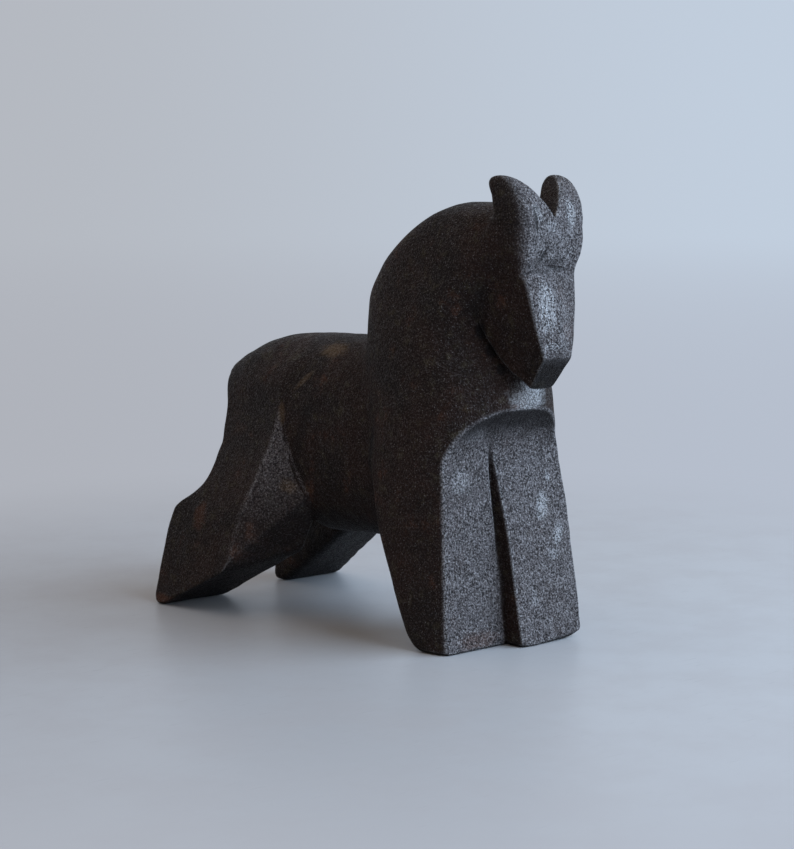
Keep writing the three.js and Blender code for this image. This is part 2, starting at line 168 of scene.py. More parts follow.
@dataclass(frozen=True)
class HandRelief:
    """Low swells and dents that fingers and scraper leave in the clay, as a depth into it.

    It is a sum of seeded sine waves in random directions, their lengths spread between two, and
    each as high as a power of its length. Up the neck it grows calmer, and on the horns it fades.
    """

    depth: float = 0.45
    shortest: float = 7.0
    longest: float = 30.0
    growth: float = 0.6
    firmness: float = 0.6
    waves: int = 18
    seed: int = 11
    calm: float = 0.6
    calm_rise: Span = (120.0, 150.0)
    fade: Span = (184.0, 198.0)

    def __call__(self, p: Array) -> Array:
        """Work out the relief.

        Args:
            p: Points, one row each.

        Returns:
            The depth at each point, from 0 to about twice the mean.
        """
        z = p[:, 2]
        rng = np.random.default_rng(self.seed)
        way = rng.normal(size=(self.waves, 3))
        way /= np.linalg.norm(way, axis=1, keepdims=True)
        long = self.shortest * (self.longest / self.shortest) ** rng.random(self.waves)
        height = (long / self.longest) ** self.growth
        start = rng.random(self.waves) * 2 * math.pi
        swell = np.sin(p @ (way * (2 * math.pi / long)[:, None]).T + start) @ height
        spread = np.sqrt((height**2).sum() / 2)
        depth = self.depth * (0.5 + 0.5 * np.tanh(self.firmness * swell / spread))
        return depth * (1 - self.calm * share(z, *self.calm_rise)) * (1 - share(z, *self.fade))


@dataclass(frozen=True)
class Rays:
    """Rays that find a closed surface: rows on a centre line, each a fan of rays round it.

    A ray's way is cos(tilt) times (across cos(turn) + up sin(turn)) plus sin(tilt) times along,
    where along is across times up. Its tilt is 0 on the straight part of the centre line and grows
    to a right angle over a domed end.
    """

    centre: Form
    stations: Array
    sides: int
    across: Triple = (1, 0, 0)
    up: Triple = (0, 1, 0)
    dome_low: int = 0
    dome_high: int = 0

    def rows(self) -> tuple[Array, Array]:
        """Set out the rows from the low end to the high end.

        Returns:
            The station of each row, and its tilt.
        """
        low = -np.linspace(math.pi / 2, 0, self.dome_low + 1)[1:-1] if self.dome_low else np.empty(0)
        high = np.linspace(0, math.pi / 2, self.dome_high + 1)[1:-1] if self.dome_high else np.empty(0)
        first, last = self.stations[0], self.stations[-1]
        at = np.concatenate((np.full(len(low), first), self.stations, np.full(len(high), last)))
        return at, np.concatenate((low, np.zeros(len(self.stations)), high))

    def ways(self, tilt: Array, turn: Array) -> Array:
        """Work out the directions of rays.

        Args:
            tilt: Tilt of each ray.
            turn: Turn of each ray.

        Returns:
            One direction for each ray.
        """
        across, up = np.array(self.across), np.array(self.up)
        flat = np.cos(turn)[..., None] * across + np.sin(turn)[..., None] * up
        return np.cos(tilt)[..., None] * flat + np.sin(tilt)[..., None] * np.cross(across, up)


def first_zero(form: Form, start: Array, way: Array, reach: Array, stride: float, halvings: int) -> Array:
    """Find where a form turns positive along rays.

    Each ray steps outwards until the form is positive, and the last step is halved repeatedly.

    Args:
        form: Distance, negative inside.
        start: Ray origins, one row each.
        way: Ray directions, one row each.
        reach: Distance along each ray at which its search begins.
        stride: Length of the outward steps.
        halvings: How often the last step is halved.

    Returns:
        The distance along each ray.
    """
    outer = reach + stride
    going = np.arange(len(start))
    for _ in range(MOST_STEPS):
        value = form(start[going] + way[going] * outer[going, None])
        going = going[value < 0]
        if not len(going):
            break
        outer[going] += stride
    inner = outer - stride
    for _ in range(halvings):
        middle = (inner + outer) / 2
        inside = form(start + way * middle[:, None]) < 0
        inner = np.where(inside, middle, inner)
        outer = np.where(inside, outer, middle)
    return (inner + outer) / 2


def crowded(start: float, stop: float, count: int, *places: Triple) -> Array:
    """Spread stations over a length, closer together near some places.

    The density is 1 plus, for each place, its extra times a bell curve of its width.

    Args:
        start: First station.
        stop: Last station.
        count: Number of stations.
        places: Place, width and extra density of each crowded stretch.

    Returns:
        The stations in order.
    """
    fine = np.linspace(start, stop, SAMPLES)
    density = 1.0 + sum(extra * np.exp(-(((fine - at) / width) ** 2)) for at, width, extra in places)
    passed = np.concatenate(([0.0], np.cumsum((density[1:] + density[:-1]) / 2)))
    return np.interp(np.linspace(0, passed[-1], count), passed, fine)


# Sections of the animal, in millimetres, +Z up, facing -Y, its left side +X


@dataclass(frozen=True)
class Sizes:
    """The driving sizes of the whole animal, the same as the solid part's."""

    neck_height: float = 188.4
    fore_depth: float = 77.0
    fore_half_width: float = 38.0
    body_length: float = 169.0
    back_height: float = 128.0
    belly_height: float = 37.5
    trunk_half_width: float = 31.0
    hind_half_width: float = 58.4
    head_length: float = 71.4
    head_depth: float = 31.0
    head_half_width: float = 19.0
    horn_length: float = 17.0
    crown_drop: float = 5.4
    face_lead: float = 12.2

    @property
    def horn_seam(self) -> float:
        """Height at which the horns stand on the head."""
        return self.neck_height - self.crown_drop

    @property
    def chin(self) -> float:
        """Height of the chin."""
        return self.horn_seam - self.head_length


class Side(Enum):
    """Which side of the animal a paired section is on; the value is the sign of its x."""

    LEFT = 1
    RIGHT = -1


@dataclass
class Section:
    """One clay section: its own form, and the rays that find its share of the skin.

    Its crease is how widely the join beside it is filled: a width, and what is added to that between
    two heights.
    """

    sizes: Sizes
    side: Side | None = None
    crease: tuple[float, ...] = (0.0, 0.0, 0.0, 1.0)

    @property
    def node(self) -> str:
        """Name of the solid node that the section stands for."""
        name = type(self).__name__.lower()
        return f"{name}_{self.side.name.lower()}" if self.side else name

    def form(self, p: Array) -> Array:
        """Return the distance to the section's own surface, negative inside."""
        raise NotImplementedError

    def planed(self, p: Array) -> Array:
        """Return how much of the paler planed colour each point gets, from 0 to 1: partly freshly planed
        clay, partly painted light.
        """
        return np.zeros(len(p))

    def centre(self, t: Array) -> Array:
        """Return the points of the section's centre line at some stations."""
        raise NotImplementedError

    def rays(self) -> Rays:
        """Return the rays that find its surface."""
        raise NotImplementedError


@dataclass
class Forequarters(Section):
    """Neck, chest and forelegs: egg-shaped rings, planed to an arched front with a stepped groove."""

    right_facet: Span = (5.0, 0.032)
    left_facet: Span = (-5.2, 0.128)
    knee: float = 46.0
    stride: float = 11.0
    stride_top: float = 88.0
    leg_split: float = 0.32
    groove_x: float = 2.2
    groove_lean: float = -0.078
    cove_radius: float = 23.0
    cove_start: float = 81.0
    cove_y: float = 7.6
    arch_drop: float = 5.0
    facet_shift: float = 2.1
    shift_end: Span = (0.48, 0.64)
    facet_edge: float = 1.3
    step_edge: float = 1.0
    valley_edge: float = 2.0
    valley_rise: Span = (4.0, 50.0)
    slit_depth: float = 2.2
    slit_aside: float = 0.5
    slit_width: float = 1.3
    slit_start: Span = (30.0, 62.0)
    slit_end: Span = (76.0, 91.0)
    cheek: Face = ((-32.9, 5.5, 0.0), (-0.968, -0.25, 0.0))
    cheek_lift: float = 4.0
    cheek_end: Span = (76.0, 100.0)
    cheek_edge: float = 3.0
    foot_edge: float = 2.0
    outer_edge: float = 4.0
    outer_foot: Span = (18.0, 36.0)
    planed_depth: Span = (0.9, 2.2)
    planed_wall: Span = (0.3, 1.5)
    planed_cove: Span = (78.0, 84.0)
    centre_aside: float = 5.0
    centre_end: Span = (90.0, 140.0)
    crowding: tuple[Triple, ...] = ((0, 2.5, 3), (99, 6, 1.2), (188.4, 8, 3))
    rows: int = 236
    sides: int = 360

    def __post_init__(self) -> None:
        """Set the profiles that are read along the height."""
        s = self.sizes
        tall, wide, deep = s.neck_height, s.fore_half_width, s.fore_depth
        self.half_width = Profile(tall, wide, (
            (0, 0.953), (0.019, 1), (0.319, 0.984), (0.478, 0.947), (0.664, 0.837), (0.77, 0.75),
            (0.849, 0.658), (0.913, 0.579), (0.966, 0.461), (0.993, 0.263), (1, 0.105)))
        self.middle = Profile(tall, deep, (
            (0, 0.117), (0.112, 0.182), (0.25, 0.286), (0.398, 0.351), (0.531, 0.39), (0.664, 0.39),
            (0.849, 0.338), (0.913, 0.312), (1, 0.26)))
        self.ridge = Profile(tall, deep, (
            (0, 0.308), (0.037, 0.409), (0.112, 0.506), (0.25, 0.662), (0.398, 0.779), (0.478, 0.87),
            (0.557, 0.935), (0.674, 1), (0.77, 0.987), (0.849, 0.883), (0.913, 0.717), (0.966, 0.532),
            (0.993, 0.383), (1, 0.312)))
        self.front = Profile(tall, deep, (
            (0, 0.026), (0.25, 0.023), (0.409, -0.03), (0.488, -0.078), (0.568, -0.078),
            (0.626, -0.045), (0.674, 0.013), (0.733, 0.065), (0.786, 0.013), (0.849, -0.078),
            (0.913, -0.143), (0.971, -0.156), (0.993, -0.104), (1, 0.182)))
        self.power = Profile(tall, 1, (
            (0, 5.2), (0.27, 5), (0.409, 3.8), (0.488, 2.5), (0.674, 2.5), (0.77, 2.8), (0.849, 3.2),
            (0.913, 3.5), (0.966, 3), (1, 2.4)))

    def groove(self, z: Array) -> Array:
        """Return how far to the left the step between the two facets is, at each height."""
        return self.groove_x + self.groove_lean * z

    def dropped(self, x: Array, z: Array) -> Array:
        """Return heights raised by the arch's drop, which grows with the square of the way aside."""
        bend = self.arch_drop * (x / self.sizes.fore_half_width) ** 2
        return z + bend * share(z, self.knee, self.cove_start)

    def scraped(self, y: Array, z: Array, facet: Span) -> Array:
        """Depth in front of a facet and of the cove above it, seen from the side.

        Below the cove it is facet line minus y, the line bending at the knee towards the cove; in
        the cove it is the radius minus the distance from the cove's axis.

        Args:
            y: Places along the animal.
            z: Heights.
            facet: The facet's place at the table and its lean.

        Returns:
            The depth, positive where the clay is scraped away.
        """
        place, lean = facet
        at_knee = place + lean * self.knee
        rise = np.clip((z - self.knee) / (self.cove_start - self.knee), 0, 1)
        line = np.where(z < self.knee, place + lean * z, at_knee + (self.cove_y - at_knee) * rise)
        below = np.minimum(line - y, self.cove_start + self.cove_radius - z)
        axis = self.cove_y - self.cove_radius
        arc = self.cove_radius - np.hypot(np.maximum(y - axis, 0), z - self.cove_start)
        return np.where(z < self.cove_start, below, arc)

    def form(self, p: Array) -> Array:
        """Egg-shaped rings less the cheek's plane, the scraped front and what is under the feet.

        The left leg leads by a stride that shrinks with height, and the front of the rings is turned
        to the left by a shift that ends at the chest.

        Args:
            p: Points, one row each.

        Returns:
            The distance to the section's own surface, negative inside.
        """
        x, y, z = p.T
        tall = self.sizes.neck_height
        over, z = z - tall, np.minimum(z, tall)
        half = self.leg_split * self.sizes.fore_half_width
        lead = self.stride * np.maximum(1 - z / self.stride_top, 0) * share(x, -half, half)
        middle = self.middle(z)
        along, to_front = y + lead - middle, middle - self.front(z)
        shift = self.facet_shift * share(-along, 0, to_front) * (1 - share(z / tall, *self.shift_end))
        egg = oval(x - shift, along, self.half_width(z), to_front, self.ridge(z) - middle, self.power(z))
        dropped = self.dropped(x, z)
        valley = self.step_edge + self.valley_edge * share(z, *self.valley_rise)
        right = soft_min(self.groove(z) - x, self.scraped(y, dropped, self.right_facet), valley)
        scraped = soft_max(right, self.scraped(y, dropped, self.left_facet), self.step_edge)
        scraped = scraped + self.slit(x, z)
        cheek = plane(p, *self.cheek) - self.cheek_lift * share(z, *self.cheek_end)
        leg = soft_max(soft_max(egg, cheek, self.cheek_edge), scraped, self.facet_edge)
        foot_edge = self.foot_edge + self.outer_edge * share(x, *self.outer_foot)
        return np.maximum(soft_max(leg, -z, foot_edge), over)

    def slit(self, x: Array, z: Array) -> Array:
        """Return the depth of the thin cut that runs on above the step: a bell curve across it."""
        across = np.exp(-(((x - self.groove(z) + self.slit_aside) / self.slit_width) ** 2))
        return self.slit_depth * across * share(z, *self.slit_start) * (1 - share(z, *self.slit_end))

    def planed(self, p: Array) -> Array:
        """Full on the facets and the cove, and nothing on the wall of the step.

        Args:
            p: Points, one row each.

        Returns:
            How freshly planed each point is, from 0 to 1.
        """
        x, y, z = p.T
        dropped, aside = self.dropped(x, z), x - self.groove(z)
        facet = np.where(aside < 0, self.scraped(y, dropped, self.right_facet),
                         self.scraped(y, dropped, self.left_facet))
        off_wall = np.maximum(share(np.abs(aside), *self.planed_wall), share(z, *self.planed_cove))
        return (1 - share(np.abs(facet), *self.planed_depth)) * off_wall

    def centre(self, t: Array) -> Array:
        """Return the centre line's points at some heights; it keeps beside the groove at the legs."""
        x = (self.groove(t) + self.centre_aside) * (1 - share(t, *self.centre_end))
        return np.stack((x, self.middle(t), t), axis=-1)

    def rays(self) -> Rays:
        """Return the rays that find its surface."""
        stations = crowded(0.03, self.sizes.neck_height - 0.02, self.rows, *self.crowding)
        return Rays(self.centre, stations, self.sides)


@dataclass
class Barrel(Section):
    """Trunk from inside the shoulders to the rump: an oval ring at each place along the back."""

    crease: tuple[float, ...] = (3.4, 1.6, 100.0, 120.0)
    start: float = 42.0
    straight_end: float = 128.0
    widest: float = 0.52
    flank_taper: float = 0.14
    taper_start: float = 0.686
    taper_rise: Span = (0.352, 0.586)
    rump_inset: float = 0.1
    rear_edge: float = 0.8
    power: float = 2.5
    crowding: tuple[Triple, ...] = ((72, 10, 0.8),)
    rows: int = 110
    sides: int = 300
    dome: int = 70

    def __post_init__(self) -> None:
        """Set the profiles that are read along the back, and the rear outline read up it."""
        s = self.sizes
        self.top = Profile(s.body_length, s.back_height, (
            (0.118, 0.984), (0.414, 1), (0.562, 1), (0.68, 0.996), (0.799, 0.986), (0.888, 0.961),
            (0.959, 0.923), (1.02, 0.876), (1.077, 0.825)))
        self.bottom = Profile(s.body_length, s.belly_height, (
            (0.118, 1.093), (0.45, 1.053), (0.627, 1), (0.728, 1.307), (0.828, 1.6), (1, 1.867)))
        wide = s.fore_half_width / s.trunk_half_width
        self.half_width = Profile(s.body_length, s.trunk_half_width, (
            (0.118, 0.895 * wide), (0.25, 0.85 * wide), (0.34, 0.935), (0.43, 0.972), (0.53, 0.99),
            (0.651, 1), (1.124, 1)))
        self.rear = Profile(s.back_height, s.body_length, (
            (0, 1.05), (0.031, 1.062), (0.258, 1.062), (0.34, 1.05), (0.367, 1.033), (0.41, 0.988),
            (0.445, 0.963), (0.492, 0.953), (0.563, 0.955), (0.64, 0.965), (0.719, 0.972),
            (0.80, 0.987), (0.86, 1.01), (0.922, 1.045)))

    def middle(self, y: Array) -> Array:
        """Return the height of the widest line."""
        bottom = self.bottom(y)
        return bottom + (self.top(y) - bottom) * self.widest

    def flank(self, y: Array, z: Array) -> Array:
        """Work out the half width, which draws in towards the rump above the thighs.

        Args:
            y: Places along the animal.
            z: Heights.

        Returns:
            The half width at each point.
        """
        above = share(z / self.sizes.back_height, *self.taper_rise)
        behind = np.maximum(y - self.taper_start * self.sizes.body_length, 0)
        return self.half_width(y) - self.flank_taper * behind * above

    def form(self, p: Array) -> Array:
        """Oval rings, cut off by the outline of the rump and inside the shoulders.

        Args:
            p: Points, one row each.

        Returns:
            The distance to the section's own surface, negative inside.
        """
        x, y, z = p.T
        middle = self.middle(y)
        ring = oval(x, z - middle, self.flank(y, z), middle - self.bottom(y), self.top(y) - middle,
                    self.power)
        rump = soft_max(ring, y - self.rear(z) + self.rump_inset, self.rear_edge)
        return np.maximum(rump, self.start - y)

    def centre(self, t: Array) -> Array:
        """Return the centre line's points at some places along the back."""
        return np.stack((0 * t, t, self.middle(t)), axis=-1)

    def rays(self) -> Rays:
        """Return the rays that find its surface."""
        stations = crowded(self.start + 0.3, self.straight_end, self.rows, *self.crowding)
        return Rays(self.centre, stations, self.sides, (0, 0, 1), (1, 0, 0), dome_high=self.dome)


@dataclass
class Hindquarter(Section):
    """Haunch and splayed hind leg: a bell-shaped outer face, cut by planed faces in front and under."""

    side: Side = Side.LEFT
    crease: tuple[float, ...] = (0.9, 4.0, 94.0, 114.0)
    barrel: Barrel = field(default_factory=lambda: Barrel(Sizes()))
    proud: float = 0.8
    inner_x: float = 20.0
    thigh: Face = ((37, 120.9, 80), (0.795, -0.594, 0.138))
    stifle: Face = ((22, 103, 51.5), (0.304, -0.829, -0.469))
    trunk_front: float = 0.651
    thigh_front: float = 0.544
    stride_top: float = 90.0
    hip_y: float = 116.6
    hip_drop: float = 11.0
    hip_fall: float = 0.2
    rear_edge: float = 1.8
    inner_edge: float = 2.5
    thigh_edge: float = 0.6
    hip_edge: float = 12.0
    foot_edge: float = 1.6
    # Painted light, in part: the thigh's planed faces get more of the paler colour higher up.
    planed_and_lit_low: float = 0.14
    planed_and_lit_high: float = 0.86
    planed_rise: Span = (42.0, 70.0)
    planed_end: Span = (88.0, 95.0)
    planed_depth: Span = (0.9, 2.0)
    centre_front: float = 0.6
    straight_end: float = 88.0
    crowding: tuple[Triple, ...] = ((0, 2.5, 3),)
    rows: int = 136
    sides: int = 300
    dome: int = 46

    def __post_init__(self) -> None:
        """Set the flare of the outer face and what differs between the two legs."""
        s = self.sizes
        self.bell = Profile(s.back_height, 1, (
            (0, 1), (0.227, 0.74), (0.336, 0.608), (0.43, 0.475), (0.508, 0.343), (0.625, 0.147),
            (0.75, 0), (1, 0)))
        left = self.side is Side.LEFT
        self.stride = 8.0 if left else 0.0
        self.under_y, self.under_rise = (178.5, 0.68) if left else (172.0, 0.5)
        self.under_edge = 6.0 if left else 1.8

    def lead(self, z: Array) -> Array:
        """Return how far back the leg is set, which shrinks with height."""
        return self.stride * np.maximum(1 - z / self.stride_top, 0)

    def outer(self, y: Array, z: Array) -> Array:
        """Work out the outer face: the flank, a little proud of it, and the bell of the leg.

        Args:
            y: Places along the animal.
            z: Heights.

        Returns:
            How far from the middle line the face is.
        """
        s = self.sizes
        foot = s.hind_half_width - s.trunk_half_width - self.proud
        flank = self.barrel.flank(np.maximum(y, self.trunk_front * s.body_length), z)
        return flank + self.proud + foot * np.maximum(self.bell(z), 0)

    def form(self, p: Array) -> Array:
        """Outer, rear and inner face, cut by the thigh, the stifle, the under face and the hip's seam.

        Args:
            p: Points, one row each.

        Returns:
            The distance to the section's own surface, negative inside.
        """
        s = self.sizes
        x, y, z = p.T
        depth = self.side.value * x
        middle = self.barrel.middle(y)
        lift = np.maximum(z - middle, 0)
        top = np.maximum(self.barrel.top(y) - middle, 1.0)
        outer = oval(depth, lift, self.outer(y, z), 1.0, top, self.barrel.power)
        rear = y - self.lead(z) - self.barrel.rear(z)
        body = soft_max(soft_max(outer, rear, self.rear_edge), self.inner_x - depth, self.inner_edge)
        q = np.stack((depth, y, z), axis=-1)
        front = np.maximum(self.thigh_front * s.body_length - y, plane(q, *self.thigh))
        body = soft_max(body, soft_max(front, plane(q, *self.stifle), self.thigh_edge), self.thigh_edge)
        under = plane(q, (0, self.under_y, 0), (0, -self.under_rise, -1))
        body = soft_max(body, under, self.under_edge)
        seam = plane(q, (0, self.hip_y, s.back_height - self.hip_drop), (0, self.hip_fall, 1))
        return soft_max(soft_max(body, -z, self.foot_edge), seam, self.hip_edge)

    def planed(self, p: Array) -> Array:
        """Most on the two planed faces at the front of the thigh, less further down; this paler colour is
        partly painted light.

        Args:
            p: Points, one row each.

        Returns:
            How freshly planed each point is, from 0 to 1.
        """
        x, y, z = p.T
        q = np.stack((self.side.value * x, y, z), axis=-1)
        front = np.abs(np.maximum(plane(q, *self.thigh), plane(q, *self.stifle)))
        strength = self.planed_and_lit_low + (self.planed_and_lit_high - self.planed_and_lit_low) * share(z, *self.planed_rise)
        return strength * (1 - share(z, *self.planed_end)) * (1 - share(front, *self.planed_depth))

    def centre(self, t: Array) -> Array:
        """Work out the centre line, midway between inner and outer face and between front and rear.

        Args:
            t: Heights.

        Returns:
            Its points.
        """
        front = np.maximum(self.under_y - t / self.under_rise, self.centre_front * self.sizes.body_length)
        y = (front + self.barrel.rear(t) + self.lead(t)) / 2
        x = (self.inner_x + self.outer(y, t)) / 2
        return np.stack((self.side.value * x, y, t), axis=-1)

    def rays(self) -> Rays:
        """Return the rays that find its surface."""
        stations = crowded(0.03, self.straight_end, self.rows, *self.crowding)
        return Rays(self.centre, stations, self.sides, dome_high=self.dome)


@dataclass
class Head(Section):
    """Wedge-shaped head with a keeled nose, a brow crease and a chamfered muzzle."""

    crease: tuple[float, ...] = (0.9, 6.0, 140.0, 165.0)
    keel_height: float = 2.41
    cheek_flare: float = 0.1
    muzzle_length: float = 13.7
    muzzle_lead: float = 2.4
    muzzle_slope: float = 0.73
    face_edge: float = 1.4
    temple_edge: float = 6.0
    temple: Span = (40.0, 58.0)
    temple_top: Span = (56.0, 68.0)
    temple_side: Span = (-4.0, 4.0)
    jaw_edge: float = 2.2
    nape_edge: float = 2.0
    muzzle_edge: float = 0.8
    chin_edge: float = 2.0
    brow_depth: float = 0.8
    brow_height: float = 49.4
    brow_lean: float = 0.07
    brow_wave: Span = (0.5, 0.55)
    brow_above: float = 5.0
    brow_below: float = 1.6
    brow_end: Span = (3.0, 13.0)
    nose_painted_shade: float = 0.22
    nose_side: Span = (0.6, 2.4)
    nose_top: Span = (46.0, 50.0)
    muzzle_painted_shade: float = 0.40
    muzzle_rim: Span = (-0.7, -0.1)
    planed_depth: Span = (1.0, 3.5)
    planed_rim: Span = (0.2, 1.2)
    ends: Span = (13.0, 12.0)
    crowding: tuple[Triple, ...] = ((161, 6, 0.6),)
    rows: int = 90
    sides: int = 280

    def __post_init__(self) -> None:
        """Set the profiles that are read up from the chin, and where the forehead is."""
        s = self.sizes
        long, deep = s.head_length, s.head_depth
        self.face_y = float(Forequarters(s).front(np.array(s.horn_seam))) - s.face_lead
        self.front = Profile(long, deep, (
            (0, -0.13), (0.188, -0.084), (0.342, -0.032), (0.482, 0.013), (0.608, 0.065),
            (0.692, 0.103), (0.776, 0.065), (0.888, 0.019), (1, 0)))
        self.half_width = Profile(long, s.head_half_width, (
            (0, 0.267), (0.188, 0.432), (0.342, 0.579), (0.482, 0.684), (0.622, 0.758),
            (0.692, 0.815), (0.79, 0.93), (0.888, 0.995), (1, 1)))
        self.back = Profile(long, deep, (
            (0, 0.283), (0.048, 0.394), (0.104, 0.587), (0.23, 0.813), (0.398, 0.994),
            (0.538, 0.926), (0.678, 0.845), (0.846, 0.668), (1, 0.619)))
        self.middle = Profile(long, deep, (
            (0, 0.245), (0.104, 0.329), (0.23, 0.394), (0.468, 0.49), (1, 0.49)))
        self.keel = Profile(long, self.keel_height, (
            (0.188, 0), (0.328, 1), (0.538, 1), (0.692, 0.2), (0.888, 0.32), (1, 0)))

    def form(self, p: Array) -> Array:
        """Keeled front less the brow's crease, between sides and back, cut at muzzle, chin and horns.

        Args:
            p: Points, one row each.

        Returns:
            The distance to the section's own surface, negative inside.
        """
        s = self.sizes
        x, y, z = p.T
        up = z - s.chin
        wide = np.maximum(self.half_width(up), 1.0)
        depth = y - self.face_y - self.front(up)
        keel = self.keel(up) * (1 - np.minimum(np.abs(x) / wide, 1))
        wave, pace = self.brow_wave
        over = up - self.brow_height - self.brow_lean * x - wave * np.sin(x * pace)
        brow = np.where(over > 0, 1 - share(over, 0, self.brow_above), 1 - share(-over, 0, self.brow_below))
        brow = self.brow_depth * brow * (1 - share(x, *self.brow_end))
        side = np.abs(x) - wide - self.cheek_flare * depth
        near = np.maximum(share(up, *self.temple) * share(-x, *self.temple_side), share(up, *self.temple_top))
        corner = self.face_edge + (self.temple_edge - self.face_edge) * near
        back_edge = self.jaw_edge + self.nape_edge * share(up, *self.temple)
        back = y - self.face_y - self.back(up)
        wedge = soft_max(soft_max(brow - keel - depth, side, corner), back, back_edge)
        muzzle = plane(p, (0, self.face_y - self.muzzle_lead, s.chin + self.muzzle_length),
                       (0, -1, -self.muzzle_slope))
        wedge = soft_max(wedge, muzzle, self.muzzle_edge)
        return np.maximum(soft_max(wedge, s.chin - z, self.chin_edge), z - s.horn_seam)

    def planed(self, p: Array) -> Array:
        """Full on the face, less on the nose's left plane and the muzzle as painted shade, and nothing past
        its edges.

        Args:
            p: Points, one row each.

        Returns:
            How freshly planed each point is, from 0 to 1.
        """
        x, y, z = p.T
        up = z - self.sizes.chin
        inside = np.maximum(self.half_width(up), 1.0) - np.abs(x)
        temple = share(up, *self.temple) * share(-x, *self.temple_side)
        (near, far), (low, high) = self.planed_depth, self.planed_rim
        ahead = 1 - share(y - self.face_y - self.front(up), near + temple, far + far * temple)
        rim = share(inside, low - high * temple, high + 4 * temple)
        above = self.face_y - self.muzzle_lead - y + self.muzzle_slope * (self.muzzle_length - up)
        # Painted shade: the muzzle and the nose's left plane get less of the paler colour.
        muzzle = 1 - self.muzzle_painted_shade * share(above, *self.muzzle_rim)
        nose = 1 - self.nose_painted_shade * share(x, *self.nose_side) * (1 - share(up, *self.nose_top))
        return nose * ahead * rim * muzzle

    def centre(self, t: Array) -> Array:
        """Return the centre line's points at some heights."""
        return np.stack((0 * t, self.face_y + self.middle(t - self.sizes.chin), t), axis=-1)

    def rays(self) -> Rays:
        """Return the rays that find its surface, from over the chin's dome to under the crown's."""
        low, high = self.sizes.chin + self.ends[0], self.sizes.horn_seam - self.ends[1]
        return Rays(self.centre, crowded(low, high, self.rows, *self.crowding), self.sides,
                    dome_low=44, dome_high=40)


@dataclass
class Horn(Section):
    """Rounded fin that leans back to its tip, with one side of the V between the two horns."""

    side: Side = Side.LEFT
    crease: tuple[float, ...] = (0.05, 2.0, 183.5, 186.0)
    toe_out: float = 0.3
    v_slope: float = 0.75
    edge: float = 6.0
    tip_edge: float = 2.6
    edge_rise: Span = (2.0, 15.0)
    back_round: float = 0.7
    inner_edge: float = 1.3
    inner_more: float = 1.2
    inner_rise: Span = (6.0, 16.0)
    top_edge: float = 1.6
    root: float = 3.0
    flare: float = 0.1
    flare_end: float = 9.0
    swell: float = 0.15
    swell_rise: float = 6.0
    v_back: float = 0.9
    v_rise: Span = (1.0, 9.0)
    straight: float = 9.0
    rows: int = 36
    sides: int = 170
    dome: int = 44

    def __post_init__(self) -> None:
        """Set the profiles that are read up from the head, and where the front is planed."""
        near = self.side is Side.RIGHT
        self.planed_front, self.planed_half = (4.5, 2.5) if near else (2.3, 1.3)
        self.planed_rim = (-0.8, 5.2) if near else (0.2, 2.0)
        s = self.sizes
        self.face_y = Head(s).face_y
        long = s.horn_length
        self.inner_line = Profile(long, s.head_half_width, (
            (0, 0), (0.441, 0.211), (0.706, 0.368), (0.882, 0.526), (1, 0.658)))
        self.outer = Profile(long, s.head_half_width, ((0, 1), (0.412, 0.995), (0.765, 0.968), (1, 0.895)))
        self.front = Profile(long, s.head_depth, (
            (0, 0), (0.265, 0.045), (0.471, 0.105), (0.647, 0.17), (0.882, 0.31), (1, 0.45)))
        self.back = Profile(long, s.head_depth, ((0, 0.59), (0.412, 0.63), (0.824, 0.70), (1, 0.66)))

    def inner(self, up: Array, y: Array) -> Array:
        """Return how far from the middle line the inner face is."""
        back = self.v_back * share(up, *self.v_rise)
        return self.inner_line(up) + back + self.toe_out * (y - self.face_y - self.front(up))

    def form(self, p: Array) -> Array:
        """Front, back and outer side, swelling a little, cut by the inner face, the tip and the root.

        Args:
            p: Points, one row each.

        Returns:
            The distance to the section's own surface, negative inside.
        """
        s = self.sizes
        x, y, z = p.T
        depth = self.side.value * x
        up = np.maximum(z - s.horn_seam, 0)
        flare = self.flare * (y - self.face_y) * (1 - share(up, 0, self.flare_end))
        edge = self.edge + (self.tip_edge - self.edge) * share(up, *self.edge_rise)
        front = self.face_y + self.front(up) - y
        ends = soft_max(front, y - self.face_y - self.back(up), edge * self.back_round)
        outside = soft_max(depth - self.outer(up) - flare, ends, edge)
        outside = outside - self.swell * share(up, 0, self.swell_rise)
        inside = (self.inner(up, y) - depth) * self.v_slope
        fin = soft_max(outside, inside, self.inner_edge + self.inner_more * share(up, *self.inner_rise))
        tip = z - s.horn_seam - s.horn_length
        return np.maximum(soft_max(fin, tip, self.top_edge), s.horn_seam - self.root - z)

    def planed(self, p: Array) -> Array:
        """Full on the front of the horn, and nothing on its sides.

        Args:
            p: Points, one row each.

        Returns:
            How freshly planed each point is, from 0 to 1.
        """
        x, y, z = p.T
        up = np.maximum(z - self.sizes.horn_seam, 0)
        depth = self.side.value * x
        ahead = self.face_y + self.front(up) + self.planed_front - y
        inside = share(depth - self.inner(up, y), -0.3, 0.5 + 0.5 * share(up, 2, 6))
        outside = share(self.outer(up) - depth, *self.planed_rim)
        return share(ahead, -self.planed_half, self.planed_half) * outside * inside

    def centre(self, t: Array) -> Array:
        """Work out the centre line, midway between inner and outer side and between front and back.

        Args:
            t: Heights.

        Returns:
            Its points.
        """
        up = np.maximum(t - self.sizes.horn_seam, 0)
        y = self.face_y + (self.front(up) + self.back(up)) / 2
        x = (self.inner(up, y) + self.outer(up)) / 2
        return np.stack((self.side.value * x, y, t), axis=-1)

    def rays(self) -> Rays:
        """Return the rays that find its surface."""
        low, high = self.sizes.horn_seam - self.root + 0.1, self.sizes.horn_seam + self.straight
        return Rays(self.centre, np.linspace(low, high, self.rows), self.sides, dome_high=self.dome)


# The skin that all sections share


